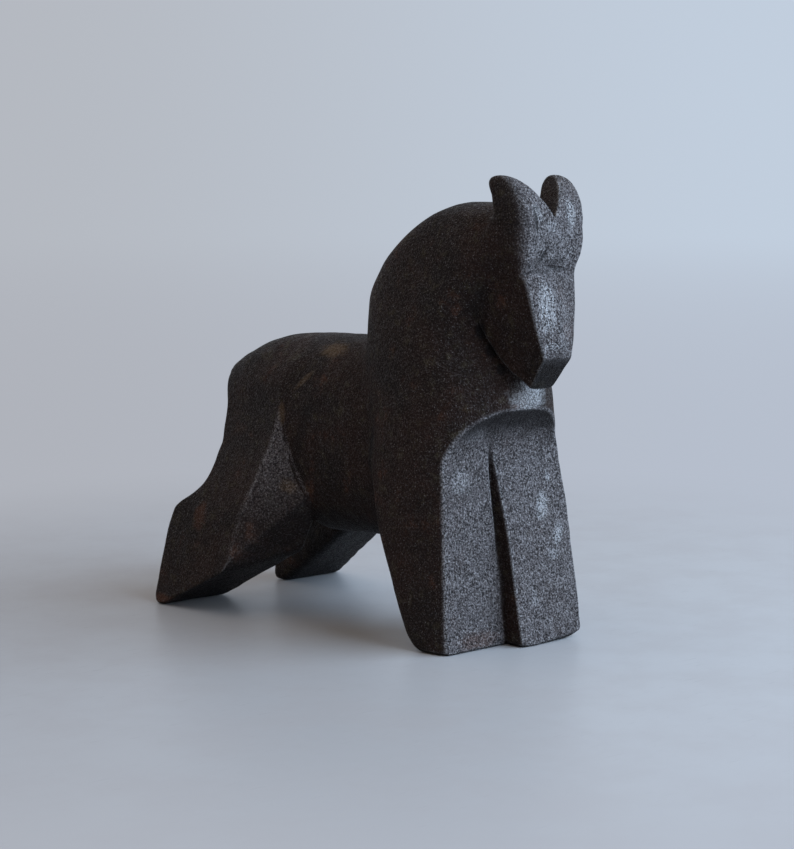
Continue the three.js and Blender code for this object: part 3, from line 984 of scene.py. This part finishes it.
@dataclass
class Skin:
    """The one surface that the luted sections show, and the mesh of each section's share of it."""

    sizes: Sizes
    relief: HandRelief
    overlap: float = 4.0
    dive: float = 0.02
    dive_bend: float = 5.0
    fine: float = 1.5
    strides: Span = (2.0, 0.8)

    def __post_init__(self) -> None:
        """Set out the seven sections."""
        s = self.sizes
        barrel = Barrel(s)
        self.sections: list[Section] = [
            Forequarters(s), barrel, Hindquarter(s, Side.RIGHT, barrel=barrel),
            Hindquarter(s, Side.LEFT, barrel=barrel), Head(s), Horn(s, Side.RIGHT), Horn(s, Side.LEFT)]

    def form(self, p: Array, own: Section | None = None) -> Array:
        """Distance to the whole skin, the sections joined in order by filled creases.

        Away from the join of a section and the rest, that section's surface dives under the skin by
        the dive times the squared distance between the two, which goes on straight from the dive's
        bend, and it ends at its overlap.

        Args:
            p: Points.
            own: Section whose own share is wanted, or none for the whole skin.

        Returns:
            The distance, negative inside.
        """
        whole, rest, mine = None, None, None
        for section in self.sections:
            near = section.form(p)
            if section is own:
                mine = near
            else:
                rest = near if rest is None else np.minimum(rest, near)
            width, more, low, high = section.crease
            fill = width + more * share(p[:, 2], low, high)
            whole = near if whole is None else soft_min(whole, near, fill)
        whole = whole + self.relief(p)
        if own is None:
            return whole
        apart = np.maximum(mine - rest, 0)
        bend = self.dive_bend
        under = self.dive * np.where(apart < bend, apart * apart, bend * (2 * apart - bend))
        return np.maximum(whole + under, mine - self.overlap)

    def grid(self, section: Section) -> tuple[Array, Array]:
        """Find a section's share of the skin as a closed grid.

        Rays find the section's own form first and the skin from there on. Each row's points are then
        spread anew, evenly by length and by how much the outline turns.

        Args:
            section: The section.

        Returns:
            Rows of points, and the two end points.
        """
        rays = section.rays()
        station, tilt = rays.rows()
        dense = int(rays.sides * self.fine)
        turn = np.linspace(0, 2 * math.pi, dense, endpoint=False)
        centre = rays.centre(station)
        start = np.repeat(centre, dense, axis=0)
        way = rays.ways(np.repeat(tilt, dense), np.tile(turn, len(tilt)))
        points = self.reach(section, start, way).reshape(len(tilt), dense, 3)
        tips = []
        for end, domed in ((0, rays.dome_low), (-1, rays.dome_high)):
            if domed:
                angle = np.array([math.pi / 2 if end else -math.pi / 2])
                tips.append(self.reach(section, centre[[end]], rays.ways(angle, np.zeros(1)))[0])
            else:
                tips.append(centre[end])
        return respread(points, rays.sides), np.array(tips)

    def reach(self, section: Section, start: Array, way: Array) -> Array:
        """Follow rays to a section's share of the skin: long strides to its own form, short ones on.

        Args:
            section: The section.
            start: Ray origins, one row each.
            way: Ray directions, one row each.

        Returns:
            The points where they meet it.
        """
        long, short = self.strides
        own = first_zero(section.form, start, way, np.zeros(len(start)), long, 9)
        found = first_zero(lambda p: self.form(p, section), start, way, np.maximum(own - short, 0), short, 11)
        return start + way * found[:, None]

    def build(self, section: Section, clay: bpy.types.Material) -> bpy.types.Object:
        """Make a section's piece, dress it, and say what it rides on, replaces and is made of.

        Args:
            section: The section.
            clay: Its material.

        Returns:
            The piece.
        """
        rows, tips = self.grid(section)
        planed = section.planed(np.concatenate((rows.reshape(-1, 3), tips)))
        piece = piece_from(f"{section.node}_skin", rows, tips, planed)
        piece.data.materials.append(clay)
        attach(piece, "root")
        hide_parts(section.node)
        return piece


def evened(rows: Array, reach: int) -> Array:
    """Average each row with its neighbours up to a reach away, weighted by a triangle.

    Args:
        rows: Rows of numbers.
        reach: How many rows to each side count.

    Returns:
        The averaged rows.
    """
    padded = np.pad(rows, ((reach, reach), (0, 0)), mode="edge")
    weights = reach + 1.0 - np.abs(np.arange(-reach, reach + 1))
    total = sum(w * padded[i : i + len(rows)] for i, w in enumerate(weights))
    return total / weights.sum()


def respread(rows: Array, sides: int) -> Array:
    """Spread the points of closed rows anew.

    A point's share of its row is its step's part of the row's length plus a ninth of its turn in half
    circles, and these shares are evened out between neighbouring rows, so that columns run smoothly.

    Args:
        rows: Rows of points, each row closed.
        sides: Number of points wanted in each row.

    Returns:
        The new rows.
    """
    step = np.roll(rows, -1, axis=1) - rows
    length = np.linalg.norm(step, axis=2)
    unit = step / np.maximum(length, 1e-9)[..., None]
    bend = np.linalg.norm(unit - np.roll(unit, 1, axis=1), axis=2)
    bend = (bend + np.roll(bend, 1, axis=1) + np.roll(bend, -1, axis=1)) / 3
    weight = length / length.sum(axis=1, keepdims=True) + bend / (TURN_PART * math.pi)
    passed = np.concatenate((np.zeros((len(rows), 1)), np.cumsum(weight, axis=1)), axis=1)
    passed = evened(passed / passed[:, -1:], EVENED_ROWS)
    offset = np.arange(len(rows))[:, None] * 2.0
    wanted = np.linspace(0, 1, sides, endpoint=False)[None, :] + offset
    place = np.interp(wanted.ravel(), (passed + offset).ravel(),
                      np.tile(np.arange(rows.shape[1] + 1.0), len(rows))).reshape(wanted.shape)
    before = np.floor(place).astype(int) % rows.shape[1]
    part = (place - np.floor(place))[..., None]
    row = np.arange(len(rows))[:, None]
    return rows[row, before] * (1 - part) + rows[row, (before + 1) % rows.shape[1]] * part


def bulge(rows: Array, normal: Array, one: Array, other: Array) -> Array:
    """Curvature along one way of a grid: a point's height over its neighbours' middle, by their span.

    Args:
        rows: Rows of points.
        normal: The surface's normal at each.
        one: The neighbour of each point on one side.
        other: Its neighbour on the other side.

    Returns:
        One value for each point, per millimetre.
    """
    height = ((rows - (one + other) / 2) * normal).sum(axis=2)
    span = ((one - other) ** 2).sum(axis=2) / 4
    return 2 * height / np.maximum(span, LEAST_SPAN)


def turned(rows: Array) -> Array:
    """Curvature of a grid of points, the larger of its two ways, positive where it bulges.

    It is twice the height of a point over the middle of its neighbours, two steps off, divided by
    their squared distance.

    Args:
        rows: Rows of points, each row closed.

    Returns:
        One value for each point, per millimetre.
    """
    n, sides, _ = rows.shape
    index = np.arange(n)
    down, above = rows[np.maximum(index - 2, 0)], rows[np.minimum(index + 2, n - 1)]
    back, ahead = np.roll(rows, 2, axis=1), np.roll(rows, -2, axis=1)
    normal = np.cross(ahead - back, above - down)
    normal /= np.maximum(np.linalg.norm(normal, axis=2, keepdims=True), 1e-9)
    round_row, along = bulge(rows, normal, back, ahead), bulge(rows, normal, down, above)
    along[:2] = along[-2:] = 0
    return np.where(np.abs(round_row) > np.abs(along), round_row, along)


def placed(name: str, data: bpy.types.ID) -> bpy.types.Object:
    """Make an object and put it into the scene.

    Args:
        name: Name of the object.
        data: Its mesh, lamp or camera.

    Returns:
        The object.
    """
    made = bpy.data.objects.new(name, data)
    bpy.context.scene.collection.objects.link(made)
    return made


def piece_from(name: str, rows: Array, tips: Array, planed: Array) -> bpy.types.Object:
    """Make a closed piece from rows of points and its two end points.

    Args:
        name: Name of the piece.
        rows: Rows of points in millimetres, each row closed.
        tips: The end points below the first and above the last row.
        planed: How freshly planed each point is, the end points last.

    Returns:
        The piece, in metres in the frame; how far each point bulges and how freshly planed it is are
        kept as attributes.
    """
    n, sides, _ = rows.shape
    points = (np.concatenate((rows.reshape(-1, 3), tips)) + FRAME_SHIFT) * MM
    ring = np.arange(sides)
    after = (ring + 1) % sides
    base = (np.arange(n - 1) * sides)[:, None]
    quads = np.stack((base + ring, base + after, base + sides + after, base + sides + ring), axis=-1)
    low, high, top = n * sides, n * sides + 1, (n - 1) * sides
    fans = np.concatenate((
        np.stack((np.full(sides, low), after, ring), axis=-1),
        np.stack((np.full(sides, high), top + ring, top + after), axis=-1)))
    corners = np.concatenate((quads.ravel(), fans.ravel()))
    counts = np.concatenate((np.full(quads.size // 4, 4), np.full(len(fans), 3)))
    mesh = bpy.data.meshes.new(name)
    mesh.vertices.add(len(points))
    mesh.vertices.foreach_set("co", points.astype(np.float32).ravel())
    mesh.loops.add(len(corners))
    mesh.loops.foreach_set("vertex_index", corners.astype(np.int32))
    mesh.polygons.add(len(counts))
    mesh.polygons.foreach_set("loop_start", (np.cumsum(counts) - counts).astype(np.int32))
    mesh.update(calc_edges=True)
    mesh.polygons.foreach_set("use_smooth", np.ones(len(counts), bool))
    values = {"bulge": np.concatenate((turned(rows).ravel(), (0.0, 0.0))), "planed": planed}
    for attribute, value in values.items():
        mesh.attributes.new(attribute, "FLOAT", "POINT").data.foreach_set("value", value.astype(np.float32))
    mesh.validate()
    return placed(name, mesh)


# Shader maths


class Value:
    """A shader socket; an expression on it adds the Math nodes that work it out."""

    def __init__(self, bench: "NodeBench", socket: bpy.types.NodeSocket) -> None:
        """Wrap one output socket."""
        self.bench = bench
        self.socket = socket

    def _math(self, operation: str, *values: "Value | float") -> "Value":
        """Add a Math node."""
        return self.bench.add("ShaderNodeMath", {"operation": operation}, dict(enumerate(values)))

    def __add__(self, other: "Value | float") -> "Value":
        """Add."""
        return self._math("ADD", self, other)

    __radd__ = __add__

    def __sub__(self, other: "Value | float") -> "Value":
        """Subtract."""
        return self._math("SUBTRACT", self, other)

    def __rsub__(self, other: "Value | float") -> "Value":
        """Subtract from a number."""
        return self._math("SUBTRACT", other, self)

    def __mul__(self, other: "Value | float") -> "Value":
        """Multiply."""
        return self._math("MULTIPLY", self, other)

    __rmul__ = __mul__

    def __truediv__(self, other: "Value | float") -> "Value":
        """Divide."""
        return self._math("DIVIDE", self, other)

    def larger(self, other: "Value | float") -> "Value":
        """Return the larger of the two."""
        return self._math("MAXIMUM", self, other)

    def smooth(self, low: float, high: float) -> "Value":
        """Return 0 before low and 1 after high, with a smooth rise between; low may be the larger."""
        return self.bench.add("ShaderNodeMapRange", {"interpolation_type": "SMOOTHSTEP"},
                              {"Value": self, "From Min": low, "From Max": high})


@dataclass
class NodeBench:
    """One node tree, and the one way that nodes are added to it."""

    tree: bpy.types.NodeTree

    def add(self, kind: str, settings: dict | None = None, values: dict | None = None,
            output: int | str = 0) -> Value:
        """Add a node.

        Args:
            kind: The node's type.
            settings: Its own settings, which are set first.
            values: Values or links of its sockets, by name or number.
            output: The socket that is wanted back.

        Returns:
            The output socket, wrapped.
        """
        node = self.tree.nodes.new(kind)
        for key, setting in (settings or {}).items():
            setattr(node, key, setting)
        for key, value in (values or {}).items():
            if isinstance(value, Value):
                self.tree.links.new(value.socket, node.inputs[key])
            else:
                node.inputs[key].default_value = value
        return Value(self, node.outputs[output] if node.outputs else None)

    def mix(self, factor: Value | float, one: Value | Triple, other: Value | Triple) -> Value:
        """Mix two colours."""
        one, other = (colour if isinstance(colour, Value) else (*colour, 1.0) for colour in (one, other))
        return self.add("ShaderNodeMix", {"data_type": "RGBA"}, {0: factor, 6: one, 7: other}, 2)

    def noise(self, at: Value, size: float, detail: float = 2.0, rough: float = 0.5) -> Value:
        """Return a noise whose blotches are about a size across, in millimetres."""
        return self.add("ShaderNodeTexNoise", {}, {
            "Vector": at, "Scale": 1 / (size * MM), "Detail": detail, "Roughness": rough})

    def length(self, of: Value) -> Value:
        """Return the length of a vector."""
        return self.add("ShaderNodeVectorMath", {"operation": "LENGTH"}, {0: of}, "Value")

    def mapped(self, at: Value, turn: Triple, scale: Triple) -> Value:
        """Return places turned by some degrees and then scaled."""
        return self.add("ShaderNodeMapping", {}, {
            "Vector": at, "Rotation": tuple(math.radians(t) for t in turn), "Scale": scale})

    def shown(self) -> Value:
        """Tell the rays that show the background, which are those to the camera and by gloss or glass.

        Returns:
            1 for such a ray and 0 for another.
        """
        shown = self.add("ShaderNodeLightPath", output="Is Camera Ray")
        for way in ("Is Glossy Ray", "Is Transmission Ray"):
            shown = shown.larger(self.add("ShaderNodeLightPath", output=way))
        return shown


def bench_for(block: bpy.types.Material | bpy.types.World) -> NodeBench:
    """Empty the node tree of a material or world, and return the bench that fills it.

    Args:
        block: The material or world.

    Returns:
        The bench.
    """
    block.use_nodes = True
    block.node_tree.nodes.clear()
    return NodeBench(block.node_tree)


@dataclass(frozen=True)
class Mark:
    """An oval place on the clay: a pale scuff that is partly painted highlight, rust, painted shade or a
    score; centre and half sizes in millimetres.
    """

    at: Triple
    half: Triple
    strength: float = 1.0
    turn: Triple = (0.0, 0.0, 0.0)
    raggedness: float = 1.25
    rim: Span = (1.15, 0.45)

    def on(self, bench: NodeBench, at: Value, ragged: Value) -> Value:
        """Work out where the mark is: full inside it, fading over its rim, which a noise makes ragged.

        Args:
            bench: Where nodes are added.
            at: The places looked at.
            ragged: The noise.

        Returns:
            The mark's strength at each place.
        """
        own = bench.add("ShaderNodeMapping", {"vector_type": "TEXTURE"}, {
            "Vector": at, "Location": tuple((np.array(self.at) + FRAME_SHIFT) * MM),
            "Rotation": tuple(math.radians(t) for t in self.turn),
            "Scale": tuple(np.array(self.half) * MM)})
        away = bench.length(own) + (ragged - 0.5) * self.raggedness
        return away.smooth(*self.rim) * self.strength


@dataclass(frozen=True)
class Stoneware:
    """Unglazed dark stoneware with grog: brown-black clay, pale grains, dark pits and marks of use, a paler
    colour on the planed faces that is partly painted light, and painted shade in creases, on undersides and
    at the shade marks.
    """

    clay: Triple = (0.0272, 0.0132, 0.0094)
    smoke: Triple = (0.0152, 0.0092, 0.0074)
    # Paler colour of the planed faces: partly the scraped clay's own, partly painted light where they face
    # the lamp.
    slate: Triple = (0.122, 0.109, 0.113)
    rust: Triple = (0.120, 0.050, 0.028)
    olive: Triple = (0.072, 0.060, 0.036)
    grog: Triple = (0.52, 0.50, 0.51)
    # Near-black of pits, scores and strokes, also mixed in as painted shade.
    black_and_shade: Triple = (0.0065, 0.0060, 0.0064)
    # Pale colour of scuffs and worn edges; on the face and chest it is partly painted highlight.
    dust: Triple = (0.50, 0.50, 0.52)
    tan: Triple = (0.20, 0.135, 0.080)
    cloud: float = 26.0
    patch: float = 13.0
    mottle: float = 5.0
    rim: float = 4.5
    grain: float = 0.88
    fine: float = 0.7
    fleck: float = 0.6
    stroke_turn: Triple = (28.0, 35.0, 0.0)
    stroke_scale: Triple = (1.0, 1.0, 0.16)
    relief: float = 1.3
    gloss: float = 0.11
    roughness: float = 0.54
    # Pale scuffs; those on the face and chest are partly painted highlight.
    dusty_and_sheen: tuple[Mark, ...] = (
        Mark((21.5, 3.4, 58.7), (3.8, 3.5, 8.0), 0.80, (0, 18, 0)),
        Mark((28.8, 0.8, 46.0), (3.4, 3.5, 6.5), 0.65, (0, 25, 0)),
        Mark((27.4, 6.3, 70.9), (1.8, 2, 2.6), 0.60),
        Mark((24.7, -0.3, 37.9), (4.0, 3, 3.0), 0.40),
        Mark((11.6, -2.5, 20.4), (2.5, 3, 4.5), 0.35),
        Mark((-23.0, 7.7, 72.7), (6.5, 4, 6.0), 0.35),
        Mark((4.4, -5.7, 107.4), (12, 7, 7.0), 0.85),
        Mark((-17.7, 4.4, 92.3), (7.0, 5, 4.5), 0.30),
        Mark((-10.1, -23.4, 185.1), (2.5, 3, 5.0), 0.50, (0, -20, 0)),
        Mark((-2.7, -24.1, 178.9), (4.0, 3, 3.0), 0.45),
        Mark((-1.0, -23.0, 171.0), (16, 6, 15), 0.14),
        Mark((3.0, -25.5, 138.0), (6, 5, 14), 0.16),
        Mark((-9.0, -17.0, 189.0), (5, 6, 7), 0.22),
        Mark((9.2, -23.9, 184.5), (3.0, 5, 8.0), 0.75),
        Mark((-5.4, -25.2, 147.0), (5.0, 5, 14.0), 0.85),
        Mark((-4.1, -26.9, 130.5), (5.5, 3, 1.6), 0.55),
    )
    rusty: tuple[Mark, ...] = (
        Mark((-18.9, 93.0, 122.0), (7, 9, 4), 0.75),
        Mark((-30.4, 112.6, 60.4), (5, 7, 4.5), 0.70),
        Mark((-30.7, 116.1, 92.0), (2.5, 2.5, 6), 0.60),
        Mark((-27.6, 104, 108.3), (3.5, 9, 1.8), 0.50, (-43, 0, 0)),
    )
    reddish: tuple[Mark, ...] = (
        Mark((-47.7, 155.8, 43.3), (6, 5, 8), 0.45),
        Mark((-57.3, 170.6, 2.5), (5, 16, 3), 0.55),
        Mark((-15, 8, 4), (14, 10, 5), 0.35),
        Mark((20, 6, 5), (18, 10, 7), 0.30),
        Mark((-33.0, 150, 86.4), (4, 9, 8), 0.30),
    )
    scored: tuple[Mark, ...] = (
        Mark((-11.2, -23.2, 181.5), (0.85, 4, 6.0), 1.0, (0, -8, 0)),
        Mark((-5.5, -22.5, 168.0), (0.85, 4, 5.5), 1.0, (0, 30, 0)),
        Mark((2.5, -21.0, 162.4), (7, 3, 0.6), 0.80, (0, 6, 0)),
        Mark((8.8, -25, 133), (0.9, 3, 5), 0.60),
    )
    # Painted shade: darkening in the creases at the shoulders and thighs, under the belly, on the far hind
    # leg and behind the jaw.
    painted_shade_marks: tuple[Mark, ...] = (
        Mark((-32, 56, 72), (7, 4.5, 33), 0.85),
        Mark((32, 56, 72), (7, 4.5, 33), 0.85),
        Mark((-30, 104, 82), (6, 4, 24), 0.45, (20, 0, 0)),
        Mark((30, 104, 82), (6, 4, 24), 0.45, (20, 0, 0)),
        Mark((0, 116, 40), (30, 24, 13), 0.70),
        Mark((28, 152, 18), (17, 32, 20), 0.75),
        Mark((-13.2, 6.0, 134.5), (3.0, 3.4, 7.0), 0.95, (25, 0, 0)),
        Mark((-11.0, 2.6, 126.5), (3.2, 3.4, 6.5), 0.95, (25, 0, 0)),
        Mark((-9.0, -1.2, 119.5), (2.8, 3.0, 5.0), 0.90, (25, 0, 0)),
        Mark((12.5, 4.0, 130.0), (3.2, 3.6, 12.0), 0.90, (25, 0, 0)),
    )

    def marked(self, bench: NodeBench, at: Value, ragged: Value, marks: Sequence[Mark]) -> Value:
        """Work out the strongest of some marks.

        Args:
            bench: Where nodes are added.
            at: The places looked at.
            ragged: The noise that makes their rims ragged.
            marks: The marks.

        Returns:
            Its strength at each place.
        """
        most = marks[0].on(bench, at, ragged)
        for mark in marks[1:]:
            most = most.larger(mark.on(bench, at, ragged))
        return most

    def material(self) -> bpy.types.Material:
        """Build the material: colours mixed one over another, relief from the grains, strokes and scores.

        Returns:
            The material.
        """
        made = bpy.data.materials.new("dark_grogged_stoneware")
        bench = bench_for(made)
        at = bench.add("ShaderNodeTexCoord", output="Object")
        bulging, planed = (bench.add("ShaderNodeAttribute", {"attribute_name": name}, output="Fac")
                           for name in ("bulge", "planed"))
        # Worn convex edges get paler; concave places darken as painted shade.
        worn, painted_hollow_shade = bulging.smooth(0.10, 0.7), bulging.smooth(-0.04, -0.40)
        facing = bench.add("ShaderNodeSeparateXYZ", {}, {
            0: bench.add("ShaderNodeTexCoord", output="Normal")}, "Z")
        # Painted shade: the colour darkens where the surface faces downwards.
        under = facing.smooth(-0.19, -0.70)

        cloud = bench.noise(at, self.cloud, 3, 0.6)
        patch = bench.noise(at, self.patch, 4, 0.65)
        mottle = bench.noise(at, self.mottle, 4, 0.62)
        ragged = bench.noise(at, self.rim, 5, 0.7)
        grit = bench.noise(at, self.grain, 2, 0.55)
        fine = bench.noise(at, self.fine, 2, 0.6)
        fleck = bench.noise(at, self.fleck, 1, 0.5).smooth(0.65, 0.72)
        salt = grit.smooth(0.52, 0.62) * fine.smooth(0.42, 0.56)
        pepper = grit.smooth(0.48, 0.38).larger(fine.smooth(0.42, 0.34) * 0.8)
        stroke = bench.noise(bench.mapped(at, self.stroke_turn, self.stroke_scale), 1.0, 2, 0.55) * planed

        reddish, rusty, dusty_and_sheen, scored = (self.marked(bench, at, ragged, marks)
                                         for marks in (self.reddish, self.rusty, self.dusty_and_sheen, self.scored))
        # Near-black mix: the real pits, scores and strokes, and painted shade in concave places, on
        # undersides and at the shade marks.
        painted_shade_marks = self.marked(bench, at, mottle, self.painted_shade_marks)
        dark = (pepper * (0.40 + 0.42 * planed)).larger(painted_hollow_shade * 0.45).larger(scored * 0.8)
        dark = dark.larger(stroke.smooth(0.62, 0.74) * 0.55).larger(under * 0.82).larger(painted_shade_marks * 0.85)

        body = bench.mix(cloud.smooth(0.35, 0.68), self.smoke, self.clay)
        for strength, colour in (
                (mottle.smooth(0.52, 0.72) * 0.45, self.olive),
                (patch.smooth(0.58, 0.74) * 0.5, self.rust),
                # The planed faces' paler colour is partly painted light, and their stronger pale grains are
                # partly painted glints.
                (planed * (0.65 + 0.35 * mottle.smooth(0.35, 0.6)), self.slate),
                (reddish, self.rust),
                (rusty * 0.6, self.tan),
                (salt * (0.06 + 0.31 * planed), self.grog),
                (fleck * 0.24, self.grog),
                # Pale scuffs, partly painted highlight on the face and chest.
                (dusty_and_sheen * (0.30 + 0.70 * fine.smooth(0.38, 0.60)) * 0.85, self.dust),
                (worn * (0.08 + 0.25 * fine.smooth(0.4, 0.7)), self.dust),
                (dark, self.black_and_shade)):
            body = bench.mix(strength, body, colour)

        relief = grit * 1.0 + fine * 0.35 + mottle * 1.2 - stroke * 0.8 - scored * 0.6
        bump = bench.add("ShaderNodeBump", {}, {
            "Strength": 1.0, "Distance": self.relief * MM, "Height": relief})
        rough = self.roughness + pepper * 0.25 + dusty_and_sheen * 0.15 - salt * 0.12
        shader = bench.add("ShaderNodeBsdfPrincipled", {}, {
            "Base Color": body, "Roughness": rough, "Normal": bump, "Specular IOR Level": self.gloss})
        bench.add("ShaderNodeOutputMaterial", {}, {"Surface": shader})
        return made


@dataclass(frozen=True)
class Backdrop:
    """The pale table, and the plain background that it fades into a little way behind the object.

    Both are greyer to the left and bluer to the right.
    """

    wood_left: Triple = (0.405, 0.402, 0.416)
    wood_right: Triple = (0.462, 0.462, 0.478)
    clouds: Triple = (0.37, 0.335, 0.335)
    left: Triple = (0.460, 0.484, 0.530)
    right: Triple = (0.538, 0.620, 0.730)
    low_left: Triple = (0.430, 0.448, 0.495)
    low_right: Triple = (0.470, 0.520, 0.612)
    fill: Triple = (0.280, 0.236, 0.202)
    rightwards: Triple = (0.745, -0.667, 0.0)
    half_turn: float = 0.20
    eye: float = 0.98
    fade: Span = (0.16, 0.50)
    rise: Span = (0.3, 5.0)
    cloud: float = 45.0
    streak_turn: Triple = (0.0, 0.0, 24.0)
    streak_scale: Triple = (0.12, 1.0, 1.0)
    roughness: float = 0.36
    gloss: float = 0.35
    relief: float = 0.06

    def across(self, bench: NodeBench, at: Value, far: Value | float) -> Value:
        """Return 0 at the left and 1 at the right, by the share of the way out that lies sideways."""
        aside = bench.add("ShaderNodeVectorMath", {"operation": "DOT_PRODUCT"},
                          {0: at, 1: self.rightwards}, "Value")
        return (aside / far).smooth(-self.half_turn, self.half_turn)

    def table(self) -> bpy.types.Material:
        """Build the table's material: matt with a faint gloss, and plain background further off.

        Returns:
            The material.
        """
        made = bpy.data.materials.new("pale_table")
        bench = bench_for(made)
        at = bench.add("ShaderNodeTexCoord", output="Object")
        away = bench.length(at)
        side = self.across(bench, at, away + self.eye)
        cloud = bench.noise(at, self.cloud, 4, 0.6).smooth(0.35, 0.70)
        colour = bench.mix(side, self.wood_left, self.wood_right)
        colour = bench.mix(cloud * 0.22, colour, self.clouds)
        streak = bench.mapped(at, self.streak_turn, self.streak_scale)
        scratch = bench.noise(streak, 1.6, 3, 0.6).smooth(0.62, 0.72)
        rough = self.roughness + cloud * 0.06 + scratch * 0.2
        bump = bench.add("ShaderNodeBump", {}, {
            "Strength": 0.25, "Distance": self.relief * MM,
            "Height": bench.noise(at, 0.9, 2, 0.6) + scratch})
        shader = bench.add("ShaderNodeBsdfPrincipled", {}, {
            "Base Color": colour, "Roughness": rough, "Normal": bump, "Specular IOR Level": self.gloss})
        low = bench.mix(side, self.low_left, self.low_right)
        high = bench.mix(side, self.left, self.right)
        plain = bench.add("ShaderNodeEmission", {}, {
            "Color": bench.mix(away.smooth(*self.rise), low, high), "Strength": 1.0})
        fade = away.smooth(*self.fade) * bench.shown()
        mixed = bench.add("ShaderNodeMixShader", {}, {0: fade, 1: shader, 2: plain})
        bench.add("ShaderNodeOutputMaterial", {}, {"Surface": mixed})
        return made

    def air(self) -> bpy.types.World:
        """Build the world: a dim even fill, with the plain background for the camera.

        Returns:
            The world.
        """
        world = bpy.data.worlds.new("studio")
        bench = bench_for(world)
        at = bench.add("ShaderNodeTexCoord", output="Generated")
        fill = bench.add("ShaderNodeBackground", {}, {"Color": (*self.fill, 1.0), "Strength": 1.0})
        side = self.across(bench, at, 1.0)
        shown = bench.add("ShaderNodeBackground", {}, {
            "Color": bench.mix(side, self.left, self.right), "Strength": 1.0})
        mixed = bench.add("ShaderNodeMixShader", {}, {0: bench.shown(), 1: fill, 2: shown})
        bench.add("ShaderNodeOutputWorld", {}, {"Surface": mixed})
        return world


@dataclass
class Studio:
    """Floor, light and camera round the object."""

    backdrop: Backdrop = Backdrop()
    half_floor: float = 40.0
    camera_at: Triple = (-0.64731, -0.73085, 0.208)
    azimuth: float = -41.8
    pitch: float = 6.985
    lens: float = 93.29
    middle: Triple = (0.0, 0.0, 0.09)

    def floor(self) -> None:
        """Make the floor: a flat square grid."""
        reach = np.linspace(-self.half_floor, self.half_floor, 9)
        x, y = np.meshgrid(reach, reach)
        points = np.stack((x, y, 0 * x), axis=-1).reshape(-1, 3)
        n = len(reach)
        first = (np.arange(n - 1)[:, None] * n + np.arange(n - 1)).ravel()
        quads = np.stack((first, first + 1, first + n + 1, first + n), axis=-1)
        mesh = bpy.data.meshes.new("floor")
        mesh.from_pydata(points.tolist(), [], quads.tolist())
        floor = placed("floor", mesh)
        floor.data.materials.append(self.backdrop.table())

    def lamp(self, name: str, right: float, front: float, height: float, size: float, power: float,
             colour: Triple) -> None:
        """Hang a soft square lamp that faces the object.

        Args:
            name: Name of the lamp.
            right: Distance to the right of the object, as the camera sees it, in metres.
            front: Distance towards the camera.
            height: Height over the floor.
            size: Side of the square.
            power: Power in watts.
            colour: Colour of its light.
        """
        a = math.radians(self.azimuth)
        place = Vector((right * math.cos(a) + front * math.sin(a),
                        right * math.sin(a) - front * math.cos(a), height))
        data = bpy.data.lights.new(name, "AREA")
        data.shape, data.size, data.energy, data.color = "SQUARE", size, power, colour
        lamp = placed(name, data)
        lamp.location = place
        lamp.rotation_euler = (Vector(self.middle) - place).to_track_quat("-Z", "Y").to_euler()

    def lights(self) -> None:
        """Hang a cool window-like lamp at the right and a weak soft one overhead."""
        self.lamp("window", 1.02, 0.36, 0.74, 1.45, 33.5, (0.60, 0.79, 1.0))
        self.lamp("overhead", -0.15, 0.05, 1.40, 1.40, 4.2, (1.0, 0.93, 0.85))

    def camera(self) -> None:
        """Set up the camera at the photograph's view angle."""
        data = bpy.data.cameras.new("camera")
        data.lens, data.sensor_width, data.sensor_fit = self.lens, 36.0, "AUTO"
        data.clip_start, data.clip_end = 0.05, 50.0
        camera = placed("camera", data)
        a, p = math.radians(self.azimuth), math.radians(self.pitch)
        ahead = Vector((-math.sin(a) * math.cos(p), math.cos(a) * math.cos(p), -math.sin(p)))
        camera.location = self.camera_at
        camera.rotation_euler = ahead.to_track_quat("-Z", "Y").to_euler()
        bpy.context.scene.camera = camera


def main() -> None:
    """Build the skin's pieces in order, dress them, and set up the studio."""
    logging.basicConfig(level=logging.INFO, format="%(message)s")
    bpy.context.scene.view_settings.view_transform = "Standard"
    skin = Skin(Sizes(), HandRelief())
    clay = Stoneware().material()
    for section in skin.sections:
        piece = skin.build(section, clay)
        log.info("%s: %d points, %d faces", piece.name, len(piece.data.vertices), len(piece.data.polygons))
    studio = Studio()
    studio.floor()
    bpy.context.scene.world = studio.backdrop.air()
    studio.lights()
    studio.camera()
    log.info("size file written")


if __name__ == "__main__":
    main()
